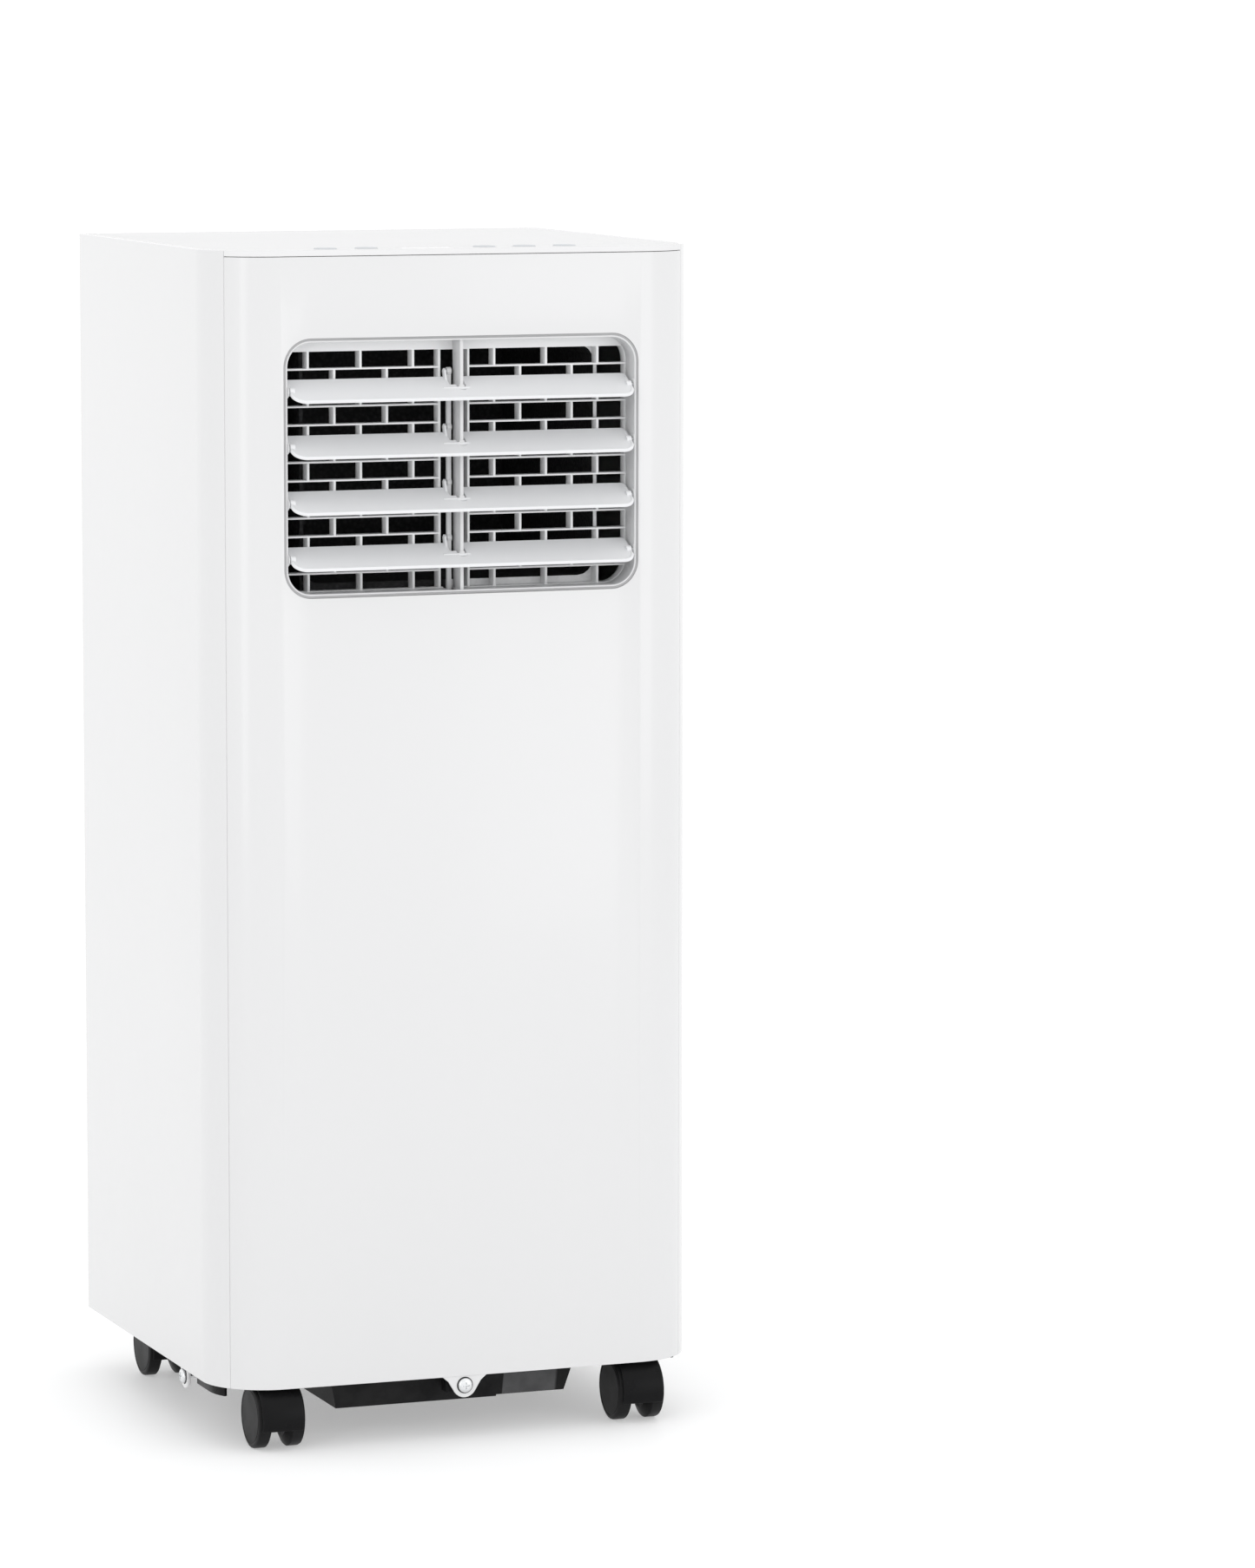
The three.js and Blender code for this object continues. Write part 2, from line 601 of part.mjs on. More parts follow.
function tube(points, r) {
  const curve = new THREE.CatmullRomCurve3(points.map((p) => new THREE.Vector3(...p)), false, 'catmullrom', 0.3);
  const ring = new THREE.Shape(arc(0, 0, r, 0, 315, 7));
  const steps = 3 * (points.length - 1);
  return solid(new THREE.ExtrudeGeometry(ring, { steps, extrudePath: curve, bevelEnabled: false }));
}

function compressor() {
  const { x, y, r, bottom, height } = COMPRESSOR;
  const shell = turned([[0, 0], [r - 14, 0], [r - 4, 6], [r, 14], [r, height - 24], [r - 8, height - 8],
    [r - 26, height], [0, height]], 20, x, y, bottom);
  let whole = join(shell, cylinder(8, 20, 14, { x: x + 12, y, z: bottom + height + 4, axis: 'z' }));
  for (let i = 0; i < 3; i += 1) {
    const a = radians(90 + 120 * i);
    const foot = turned([[0, -9], [8, -9], [8, 3], [0, 3]], 8,
      x + (r - 2) * Math.cos(a), y + (r - 2) * Math.sin(a), bottom);
    whole = join(whole, foot);
  }
  return whole;
}

// The tray's two depths of tub, grown or shrunk by the offset.
function tubs(offset, top) {
  const { left, right, step, front, back, bottom } = TRAY;
  const z0 = bottom - offset;
  return join(
    taperedBox(left - 5 - offset, step + offset, front - 5 - offset, back + 5 + offset, z0, top, 5),
    taperedBox(left + 40 - offset, right + 5 + offset, front - 1 - offset, back + 5 + offset, z0, top, 5),
  );
}

function basePan() {
  const edge = WALL + 3 * GAP;
  const right = [
    ...arc(cornerX, cornerY, CORNER_R - edge, -90, 0, 7),
    vec(WIDTH / 2 - edge, REAR_FACE - WALL - GAP),
  ];
  const plate = upright([...mirrored(right), ...bowLine(edge), ...right], PAN_BOTTOM, PAN_TOP);
  const well = tubs(-2.5, PAN_TOP + 1);
  let whole = cut(plate, well);
  for (const side of [-1, 1]) {
    for (const y of [CASTER_FRONT_Y, CASTER_REAR_Y]) {
      whole = join(whole, cylinder(8.5, 20, 12, { x: side * CASTER_X, y, z: PAN_TOP + 9, axis: 'z' }));
      whole = cut(whole, cylinder(4.5, 60, 12, { x: side * CASTER_X, y, z: PAN_TOP, axis: 'z' }));
    }
    whole = join(whole, cornerSkirt(side));
  }
  const bossRear = TRAY.front - 5 - GAP;
  const boss = box(-9, 9, bossRear - 8, bossRear, EAR.screwZ - 5, PAN_BOTTOM + 1);
  const screwHole = cylinder(1.9, 30, 10, { x: 0, y: bossRear - 12, z: EAR.screwZ });
  return cut(join(whole, boss), screwHole);
}

// The tub hangs under the pan and holds the condensate.
function dripTray() {
  return cut(tubs(0, PAN_BOTTOM - GAP), tubs(-2.5, PAN_TOP));
}

// The pan's rim shows below the shell beside each front caster.
function cornerSkirt(side) {
  const edge = WALL + 2 * GAP;
  const r = CORNER_R - edge;
  const outer = [vec(WIDTH / 2 - edge, SKIRT_REAR), ...arc(cornerX, cornerY, r, 0, -29, 4)];
  const inner = [...arc(cornerX, cornerY, r - 1.8, -29, 0, 4), vec(WIDTH / 2 - edge - 1.8, SKIRT_REAR)];
  const points = [...outer, ...inner];
  return upright(side > 0 ? points : mirrored(points), SKIRT_BOTTOM, PAN_TOP);
}

// ------------------------------------------------------------------- casters

// Origin on the swivel axis at floor height, the axle is ahead of it.
function casterHood() {
  const inside = HOOD_R - 1.5;
  const side = WHEEL_OUTER - 1.6;
  const rib = WHEEL_INNER - 0.4;
  const cover = sideways([
    ...arc(-AXLE_OFFSET, WHEEL_R, HOOD_R, 197, 20, 9),
    ...arc(-AXLE_OFFSET, WHEEL_R, inside, 20, 197, 9),
  ], -side, side);
  const web = sideways([
    ...arc(-AXLE_OFFSET, WHEEL_R, HOOD_R - 0.8, 168, 26, 6),
    ...arc(-AXLE_OFFSET, WHEEL_R, 5, 0, -180, 4),
  ], -rib, rib);
  const neck = cylinder(6.5, 1.8, 14, { x: 0, y: 0, z: 37.3, axis: 'z' });
  const stem = cylinder(4, 23, 12, { x: 0, y: 0, z: 48, axis: 'z' });
  const key = box(-rib, rib, -6, 5, 30, 37);
  const bore = cylinder(2.3, 40, 10, { x: 0, y: -AXLE_OFFSET, z: WHEEL_R, axis: 'x' });
  return cut(join(cover, web, key, neck, stem), bore);
}

function wheelSolid(side) {
  const profile = [
    [2.4, WHEEL_INNER], [WHEEL_R - 6, WHEEL_INNER], [WHEEL_R, WHEEL_INNER + 3.1],
    [WHEEL_R, WHEEL_OUTER - 1], [WHEEL_R - 1, WHEEL_OUTER], [2.4, WHEEL_OUTER], [2.4, WHEEL_INNER],
  ];
  const geometry = new THREE.LatheGeometry(profile.map(([r, h]) => vec(r, h)), 20);
  geometry.rotateZ(side > 0 ? -Math.PI / 2 : Math.PI / 2);
  geometry.translate(0, -AXLE_OFFSET, WHEEL_R);
  return solid(geometry);
}

function addCaster(tag, x, y) {
  const caster = new THREE.Group();
  caster.position.set(x, y, 0);
  unit.add(caster);
  piece(`caster_hood_${tag}`, black(), casterHood(), caster);
  const axle = cylinder(1.9, 2 * WHEEL_OUTER - 2, 12, { x: 0, y: -AXLE_OFFSET, z: WHEEL_R, axis: 'x' });
  piece(`caster_axle_${tag}`, steel(), axle, caster);
  piece(`caster_wheel_${tag}_l`, black(), wheelSolid(-1), caster);
  piece(`caster_wheel_${tag}_r`, black(), wheelSolid(1), caster);
}

function earScrew() {
  const head = turned([[0, -0.8], [4.2, -0.8], [4.2, 0.3], [3.2, 1], [0, 1.3]], 12);
  const shank = cylinder(1.6, 10, 8, { x: 0, y: 0, z: -5.5, axis: 'z' });
  const slot = box(-3, 3, -0.4, 0.4, 0.8, 3);
  return cut(join(head, shank), slot);
}

// ------------------------------------------------------------------ assembly

piece('base_pan', black(), basePan());
piece('drip_tray', black(), dripTray());
piece('front_panel', white(), frontPanel());
piece('right_side_panel', white(), rightPanel());
piece('left_side_panel', white(), rightPanel().mirror([1, 0, 0]));
piece('rear_panel', white(), rearPanel());
piece('top_cover', white(), topCover());
piece('control_panel', white(), controlPanel());
piece('display_window', darkGlass(), box(
  DISPLAY.x - DISPLAY.width / 2, DISPLAY.x + DISPLAY.width / 2,
  DISPLAY.y - DISPLAY.depth / 2, DISPLAY.y + DISPLAY.depth / 2, HEIGHT - 2.2, HEIGHT - 0.1));
BUTTON_X.forEach((x, i) => piece(`button_${i + 1}`, whiteMatte(), buttonCap(x)));
piece('control_board', board(), controlBoard());

piece('outlet_frame', whiteMatte(), outletFrame());
piece('outlet_grille', whiteMatte(), outletGrille());
piece('outlet_duct', foam(), outletDuct());
for (let i = 0; i < LOUVER_COUNT; i += 1) {
  const blade = piece(`louver_${i + 1}`, white(), louver());
  blade.position.set(0, LOUVER_Y, LOUVER_TOP_Z - i * LOUVER_PITCH);
  blade.rotation.x = tilt;
}
piece('louver_link', white(), louverLink());
piece('swing_motor', steel(), swingMotor());
piece('swing_crank', whiteMatte(), swingCrank());

piece('evaporator_coil', aluminium(), coil(-108, 104, 100, 124, 350, 636, 12, 6));
piece('evaporator_volute', foam(), volute(COLD_FAN, 67, 90, 67, 46, false));
piece('evaporator_wheel', whiteMatte(), blowerWheel(COLD_FAN, 16));
piece('evaporator_motor', darkSteel(), fanMotor(COLD_FAN, 38, 46));
piece('partition_deck', foam(), box(-138, 138, -96, 128, DECK_Z, DECK_Z + 4));
piece('condenser_coil', aluminium(), coil(-96, 104, 102, 124, 62, 180, 12, 4));
piece('condenser_volute', black(), condenserVolute());
piece('condenser_wheel', black(), blowerWheel(HOT_FAN, 14));
piece('condenser_motor', darkSteel(), fanMotor(HOT_FAN, 32, 48));
piece('compressor', darkSteel(), compressor());
piece('intake_filter', white(), intakeFilter());
piece('exhaust_collar', whiteMatte(), exhaustCollar());
piece('electrical_box', steel(), box(106, 136, -70, 40, 350, 470));

piece('suction_pipe', copper(), tube([
  [-56, -42, 236], [-56, -42, 262], [-84, -30, 290], [-124, 20, 300], [-128, 70, 306], [-124, 112, 316],
], 4));
piece('discharge_pipe', copper(), tube([
  [-92, -42, 232], [-100, -36, 246], [-118, -10, 236], [-124, 50, 190], [-118, 112, 150], [-101, 113, 120],
], 3));

const plug = cylinder(6.8, 7, 12, { x: DRAIN.x, y: REAR_FACE - 3.2, z: DRAIN.z });
const plugHead = cylinder(9, 1.6, 12, { x: DRAIN.x, y: REAR_FACE + 1.1, z: DRAIN.z });
const gland = cylinder(7.3, 12, 12, { x: GLAND.x, y: REAR_FACE - 5, z: GLAND.z });
const glandLip = cylinder(10, 1.6, 12, { x: GLAND.x, y: REAR_FACE + 1.1, z: GLAND.z });
const glandBore = cylinder(4, 40, 12, { x: GLAND.x, y: REAR_FACE, z: GLAND.z });
piece('drain_plug', black(), join(plug, plugHead));
piece('cord_gland', black(), cut(join(gland, glandLip), glandBore));

const frontScrew = piece('front_screw', steel(), earScrew());
frontScrew.rotation.x = Math.PI / 2;
frontScrew.position.set(0, -DEPTH / 2 - 0.7, EAR.screwZ);
const leftScrew = piece('left_screw', steel(), earScrew());
leftScrew.rotation.y = -Math.PI / 2;
leftScrew.position.set(-WIDTH / 2 + 1.4, LEFT_EAR_Y, EAR.screwZ);

addCaster('front_left', -CASTER_X, CASTER_FRONT_Y);
addCaster('front_right', CASTER_X, CASTER_FRONT_Y);
addCaster('rear_left', -CASTER_X, CASTER_REAR_Y);
addCaster('rear_right', CASTER_X, CASTER_REAR_Y);

export default unit;
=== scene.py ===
import math
import bmesh
import bpy
from mathutils import Matrix, Vector


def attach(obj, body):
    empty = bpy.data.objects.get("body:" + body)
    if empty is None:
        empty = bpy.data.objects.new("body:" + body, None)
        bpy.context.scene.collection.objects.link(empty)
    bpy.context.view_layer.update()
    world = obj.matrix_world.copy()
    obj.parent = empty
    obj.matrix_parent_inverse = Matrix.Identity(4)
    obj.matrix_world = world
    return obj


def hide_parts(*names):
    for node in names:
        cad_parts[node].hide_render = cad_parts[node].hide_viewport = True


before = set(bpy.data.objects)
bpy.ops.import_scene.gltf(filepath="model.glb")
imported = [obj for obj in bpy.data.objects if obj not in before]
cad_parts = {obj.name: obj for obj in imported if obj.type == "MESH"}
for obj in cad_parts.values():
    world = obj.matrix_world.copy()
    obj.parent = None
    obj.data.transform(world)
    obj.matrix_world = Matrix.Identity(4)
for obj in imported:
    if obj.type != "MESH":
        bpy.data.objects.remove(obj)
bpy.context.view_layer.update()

# ------------------------------------------------------------------ dimensions
# Millimetres in the part's own frame; a point goes to the row frame in metres
# with a shift of SHIFT along Y.

SHIFT = 3.9
WIDTH = 290.0
DEPTH = 275.2
HEIGHT = 679.0
SHELL_BOTTOM = 36.2
WALL = 3.5
GAP = 0.3
CORNER_R = 37.5
BACK_R = 8.0
BOW = 0.8
SEAM_ANGLE = 49.0
FRONT_TOP = HEIGHT - 3.6
COVER_BOTTOM = FRONT_TOP + GAP
REAR_FACE = DEPTH / 2 - 2
REAR_HALF_WIDTH = 132.7
REAR_FLANGE = 12.0
OUTLET_HALF, OUTLET_BOTTOM, OUTLET_TOP, OUTLET_R = 105.5, 484.8, 630.0, 16.0
GRILLE_FRONT, GRILLE_BACK = -121.6, -113.6
GRILLE_TOP_BAR, GRILLE_PITCH, GRILLE_ROWS = 622.3, 10.42, 13
GRILLE_BAR, GRILLE_SLOT, BRICK, BAR_HEIGHT = 1.4, 8.65, 31.1, 1.0
OUTLET_WALL, OUTLET_LIP, SEAM_EDGE = 2.3, 1.3, 0.1
LOUVER_COUNT = 4
LOUVER_TOP_Z, LOUVER_PITCH, LOUVER_Y = 600.4, 31.27, -134.5
LOUVER_HALF, LOUVER_CHORD, LOUVER_THICK, LOUVER_TILT = 101.8, 24.0, 1.5, 28.0
PIN_ALONG, PIN_ABOVE, LINK_X = 13.5, 3.2, -4.2
ARM_LEFT, ARM_RIGHT, LINK_NOTCH, LINK_WAY = -7.5, -6.0, 3.4, 2.4
STRIP_REAR = -107.0
BUTTON_X = (-76, -52, 18, 42, 66)
BUTTON_R, BUTTON_Y = 6.5, -122.0
DISPLAY_X, DISPLAY_Y, DISPLAY_W, DISPLAY_D = -17.0, -122.0, 31.0, 15.0
CASTERS = {"front_left": (-109, -110.6), "front_right": (109, -110.6),
           "rear_left": (-109, 103), "rear_right": (109, 103)}
AXLE_OFFSET, WHEEL_R, WHEEL_INNER, WHEEL_OUTER, HOOD_R = 8.0, 18.0, 3.6, 13.8, 20.2
EXHAUST_X, EXHAUST_Z, EXHAUST_OUT, EXHAUST_IN, EXHAUST_DEPTH = 34.0, 251.0, 66.0, 61.0, 47.0
INTAKE_HALF, INTAKE_BOTTOM, INTAKE_TOP = 112.0, 352.0, 640.0
DRAIN = (-100.0, 52.0)
GLAND = (112.0, 60.0)
SKIRT_CUT = (128, 150, -140, -104, 20, 38.55)
EAR_Z, EAR_R, EAR_HOLE_R = 30.9, 7.2, 2.4
FRONT_EAR_INSET, SIDE_EAR_INSET = 0.4, 2.6
LEFT_EAR_Y = -56.0
REAR_SCREW_Z = (70, 196, 345, 500, 655)
REAR_SCREW_X = (-REAR_HALF_WIDTH + 7, REAR_HALF_WIDTH - 7)
PANEL_EDGE = 0.3

SEAM_END = SEAM_ANGLE + 180 / math.pi * GAP / CORNER_R
cornerX = WIDTH / 2 - CORNER_R
cornerY = -(DEPTH / 2 - BOW - CORNER_R)
backX = WIDTH / 2 - BACK_R
backY = DEPTH / 2 - BACK_R

# ------------------------------------------------------------------- materials


class Nodes:
    """A small wrapper that adds nodes to a tree and links them."""

    def __init__(self, tree):
        self.tree = tree

    def add(self, kind, **values):
        node = self.tree.nodes.new(kind)
        for key, value in values.items():
            if key in node.inputs:
                node.inputs[key].default_value = value
            else:
                setattr(node, key, value)
        return node

    def link(self, a, b):
        self.tree.links.new(a, b)

    def noise(self, coords, scale, detail=3.0, roughness=0.5):
        node = self.add("ShaderNodeTexNoise", Scale=scale, Detail=detail, Roughness=roughness)
        self.link(coords, node.inputs["Vector"])
        return node.outputs["Fac"]

    def span(self, value, low, high, to_low, to_high):
        node = self.add("ShaderNodeMapRange", clamp=True)
        node.inputs["From Min"].default_value = low
        node.inputs["From Max"].default_value = high
        node.inputs["To Min"].default_value = to_low
        node.inputs["To Max"].default_value = to_high
        self.link(value, node.inputs["Value"])
        return node.outputs["Result"]

    def math(self, operation, a, b=None):
        node = self.add("ShaderNodeMath", operation=operation)
        for i, value in enumerate((a, b)):
            if value is None:
                continue
            if isinstance(value, (int, float)):
                node.inputs[i].default_value = value
            else:
                self.link(value, node.inputs[i])
        return node.outputs[0]

    def mix(self, factor, a, b):
        node = self.add("ShaderNodeMix", data_type="RGBA")
        for socket, value in ((node.inputs[0], factor), (node.inputs[6], a), (node.inputs[7], b)):
            if isinstance(value, (int, float)):
                socket.default_value = value
            elif isinstance(value, tuple):
                socket.default_value = (*value[:3], 1)
            else:
                self.link(value, socket)
        return node.outputs[2]

    def stretched(self, coords, sx, sy, sz):
        node = self.add("ShaderNodeMapping")
        node.inputs["Scale"].default_value = (sx, sy, sz)
        self.link(coords, node.inputs["Vector"])
        return node.outputs["Vector"]

    def bump(self, height, strength, distance, after=None):
        node = self.add("ShaderNodeBump", Strength=strength, Distance=distance)
        self.link(height, node.inputs["Height"])
        if after is not None:
            self.link(after, node.inputs["Normal"])
        return node.outputs["Normal"]


def new_material(name):
    material = bpy.data.materials.new(name)
    material.use_nodes = True
    nodes = Nodes(material.node_tree)
    shader = material.node_tree.nodes["Principled BSDF"]
    coords = nodes.add("ShaderNodeTexCoord").outputs["Object"]
    return material, nodes, shader, coords


def tone(color, factor):
    return tuple(min(1.0, c * factor) for c in color)


def moulded(name, color, rough, grain=900.0, grain_strength=0.12, peel=0.0, variation=0.02,
            wear=0.0, wear_color=None, dust=0.0, coat=0.0, ior=1.46, spread=0.05):
    """Moulded plastic: faint flow mottling, a texture grain, rubbed edges and settled dust."""
    material, n, shader, coords = new_material(name)
    broad = n.noise(n.stretched(coords, 1, 1, 0.55), 7.0, 2.0)
    fine = n.noise(coords, 60.0, 4.0, 0.6)
    shade = n.mix(n.span(broad, 0.35, 0.65, 0, 1), tone(color, 1 - variation), tone(color, 1 + variation))
    shade = n.mix(n.span(fine, 0.4, 0.75, 0, variation * 6), shade, tone(color, 1 - 2.5 * variation))
    if wear:
        point = n.add("ShaderNodeNewGeometry").outputs["Pointiness"]
        edge = n.math("MULTIPLY", n.span(point, 0.515, 0.58, 0, wear), n.span(fine, 0.3, 0.6, 0.35, 1))
        shade = n.mix(edge, shade, wear_color or tone(color, 1.6))
    if dust:
        split = n.add("ShaderNodeSeparateXYZ")
        n.link(n.add("ShaderNodeNewGeometry").outputs["Normal"], split.inputs[0])
        up = n.span(split.outputs[2], 0.2, 1.0, 0, dust)
        shade = n.mix(n.math("MULTIPLY", up, n.span(fine, 0.35, 0.7, 0.2, 1)), shade, (0.42, 0.42, 0.41))
    n.link(shade, shader.inputs["Base Color"])
    n.link(n.span(fine, 0.3, 0.7, rough - spread, rough + spread), shader.inputs["Roughness"])
    normal = n.bump(n.noise(coords, grain, 2.0), grain_strength, 0.0002)
    if peel:
        normal = n.bump(n.noise(coords, 140.0, 1.0), peel, 0.0004, normal)
    n.link(normal, shader.inputs["Normal"])
    shader.inputs["IOR"].default_value = ior
    shader.inputs["Coat Weight"].default_value = coat
    shader.inputs["Coat Roughness"].default_value = 0.08
    return material


def metallic(name, color, rough, stretch=(1, 1, 30), scale=60.0, tarnish=(0.3, 0.3, 0.3), amount=0.25):
    """Metal with drawn or rolled lines, uneven polish and a little tarnish."""
    material, n, shader, coords = new_material(name)
    lines = n.noise(n.stretched(coords, *stretch), scale, 5.0, 0.65)
    blotch = n.noise(coords, 28.0, 4.0, 0.6)
    shade = n.mix(n.span(lines, 0.3, 0.7, 0, 1), tone(color, 0.92), tone(color, 1.05))
    shade = n.mix(n.span(blotch, 0.5, 0.8, 0, amount), shade, tarnish)
    n.link(shade, shader.inputs["Base Color"])
    polish = n.math("ADD", lines, blotch)
    n.link(n.span(polish, 0.6, 1.4, rough * 0.75, rough * 1.35), shader.inputs["Roughness"])
    n.link(n.bump(lines, 0.12, 0.0002), shader.inputs["Normal"])
    shader.inputs["Metallic"].default_value = 1.0
    return material


def finned(name):
    """Aluminium fin stock: close-set fins across X, a few bent, with dust in the valleys; the dark bands
    between the fins are painted shade.
    """
    material, n, shader, coords = new_material(name)
    wave = n.add("ShaderNodeTexWave", bands_direction="X", Scale=160.0, Distortion=0.35)
    wave.inputs["Detail Scale"].default_value = 2.0
    n.link(coords, wave.inputs["Vector"])
    fins = wave.outputs["Fac"]
    blotch = n.noise(coords, 18.0, 4.0)
    # Painted shade: the dark bands of the wave stand for the shaded gaps between the fins.
    shade = n.mix(fins, (0.22, 0.23, 0.24), (0.78, 0.79, 0.8))
    shade = n.mix(n.span(blotch, 0.5, 0.8, 0, 0.35), shade, (0.5, 0.49, 0.47))
    n.link(shade, shader.inputs["Base Color"])
    n.link(n.span(blotch, 0.3, 0.7, 0.28, 0.5), shader.inputs["Roughness"])
    n.link(n.bump(fins, 0.6, 0.0006), shader.inputs["Normal"])
    shader.inputs["Metallic"].default_value = 0.9
    return material


def beaded(name, color, bead=260.0):
    """Moulded foam with its pressed beads."""
    material, n, shader, coords = new_material(name)
    cells = n.add("ShaderNodeTexVoronoi", Scale=bead)
    n.link(coords, cells.inputs["Vector"])
    distance = cells.outputs["Distance"]
    blotch = n.noise(coords, 12.0, 3.0)
    shade = n.mix(n.span(distance, 0.2, 0.6, 0, 1), color, tone(color, 0.8))
    shade = n.mix(n.span(blotch, 0.4, 0.7, 0, 0.3), shade, tone(color, 0.88))
    n.link(shade, shader.inputs["Base Color"])
    n.link(n.span(distance, 0.1, 0.7, 0.75, 0.95), shader.inputs["Roughness"])
    n.link(n.bump(n.math("SUBTRACT", 1.0, distance), 0.35, 0.0006), shader.inputs["Normal"])
    return material


def duct_painted_shade(name):
    """The outlet duct: bare white foam at the right half of its mouth's edge, and near-black painted shade
    everywhere else, the left half of that edge too.
    """
    # Near-black base colour: painted shade over the whole inside of the duct.
    material = beaded(name, (0.012, 0.012, 0.013), 420.0)
    n = Nodes(material.node_tree)
    shader = material.node_tree.nodes["Principled BSDF"]
    before = shader.inputs["Base Color"].links[0].from_socket
    coords = n.add("ShaderNodeTexCoord").outputs["Object"]
    split = n.add("ShaderNodeSeparateXYZ")
    n.link(coords, split.inputs[0])
    speck = n.noise(coords, 300.0, 3.0)
    bare = n.mix(n.span(speck, 0.3, 0.7, 0, 1), (0.74, 0.745, 0.75), (0.8, 0.805, 0.81))
    # Painted light: this mask keeps the white foam only on the right half of the mouth's edge, where light
    # falls; the rest stays painted shade.
    lip = n.math("MULTIPLY", n.span(split.outputs[1], -0.1090, -0.1086, 1, 0),
                 n.span(split.outputs[0], -0.003, 0.003, 0, 1))
    n.link(n.mix(lip, before, bare), shader.inputs["Base Color"])
    return material


def solder_mask(name):
    """A green board with copper runs under the mask and pale silk marks."""
    material, n, shader, coords = new_material(name)
    runs = n.add("ShaderNodeTexBrick", Scale=320.0, offset=0.35)
    runs.inputs["Color1"].default_value = (0.02, 0.16, 0.07, 1)
    runs.inputs["Color2"].default_value = (0.03, 0.2, 0.09, 1)
    runs.inputs["Mortar"].default_value = (0.06, 0.33, 0.14, 1)
    runs.inputs["Mortar Size"].default_value = 0.06
    n.link(coords, runs.inputs["Vector"])
    blotch = n.noise(coords, 40.0, 3.0)
    shade = n.mix(n.span(blotch, 0.62, 0.66, 0, 0.7), runs.outputs["Color"], (0.75, 0.78, 0.74))
    n.link(shade, shader.inputs["Base Color"])
    n.link(n.span(blotch, 0.3, 0.7, 0.32, 0.5), shader.inputs["Roughness"])
    n.link(n.bump(runs.outputs["Fac"], 0.2, 0.0002), shader.inputs["Normal"])
    return material


def smoked(name):
    """A dark smoked lens with light handling marks."""
    material, n, shader, coords = new_material(name)
    smear = n.noise(n.stretched(coords, 1, 3, 1), 70.0, 5.0, 0.7)
    n.link(n.mix(n.span(smear, 0.4, 0.7, 0, 1), (0.006, 0.008, 0.01), (0.014, 0.018, 0.022)),
           shader.inputs["Base Color"])
    n.link(n.span(smear, 0.4, 0.75, 0.05, 0.16), shader.inputs["Roughness"])
    n.link(n.bump(n.noise(coords, 90.0, 1.0), 0.02, 0.0004), shader.inputs["Normal"])
    shader.inputs["Coat Weight"].default_value = 0.6
    shader.inputs["Coat Roughness"].default_value = 0.04
    return material


def tray_black_painted_light(name):
    """The tray's black plastic, with a lighter grey patch near its right end that is painted light from the
    floor.
    """
    material = moulded(name, (0.005, 0.005, 0.0055), 0.42, grain=1500.0, grain_strength=0.2,
                       variation=0.12, wear=0.3, wear_color=(0.05, 0.05, 0.05), ior=1.3)
    tree = material.node_tree
    n = Nodes(tree)
    shader = tree.nodes["Principled BSDF"]
    before = shader.inputs["Base Color"].links[0].from_socket
    split = n.add("ShaderNodeSeparateXYZ")
    n.link(n.add("ShaderNodeTexCoord").outputs["Object"], split.inputs[0])
    # Painted light: a grey patch on the tray from X 31 to 64 mm, below the rim, stands in for light from the
    # floor.
    from_step = n.span(split.outputs[0], 0.0308, 0.0314, 0, 1)
    below = n.span(split.outputs[2], 0.0355, 0.0362, 1, 0)
    before_end = n.span(split.outputs[0], 0.0628, 0.0644, 1, 0)
    painted_light_patch = n.math("MULTIPLY", n.math("MULTIPLY", from_step, before_end), below)
    grain = n.noise(n.add("ShaderNodeTexCoord").outputs["Object"], 80.0, 4.0)
    lit_grey = n.mix(n.span(grain, 0.3, 0.7, 0, 1), (0.07, 0.07, 0.072), (0.10, 0.10, 0.102))
    n.link(n.mix(painted_light_patch, before, lit_grey), shader.inputs["Base Color"])
    return material


def woven(name):
    """The filter's fine net, drawn as a weave of strands with dark openings; the near-black openings are
    painted shade for the dark inside behind the net.
    """
    material, n, shader, coords = new_material(name)
    strands = []
    for direction in ("X", "Z"):
        wave = n.add("ShaderNodeTexWave", bands_direction=direction, Scale=150.0, Distortion=0.2)
        n.link(coords, wave.inputs["Vector"])
        strands.append(n.span(wave.outputs["Fac"], 0.45, 0.75, 0, 1))
    net = n.math("MAXIMUM", strands[0], strands[1])
    blotch = n.noise(coords, 25.0, 4.0)
    light = n.mix(n.span(blotch, 0.4, 0.75, 0, 0.6), (0.16, 0.165, 0.17), (0.1, 0.1, 0.1))
    # The near black between the strands is painted shade standing in for the dark inside behind the net.
    n.link(n.mix(net, (0.01, 0.01, 0.01), light), shader.inputs["Base Color"])
    n.link(n.span(net, 0, 1, 0.9, 0.5), shader.inputs["Roughness"])
    n.link(n.bump(net, 0.5, 0.0005), shader.inputs["Normal"])
    return material


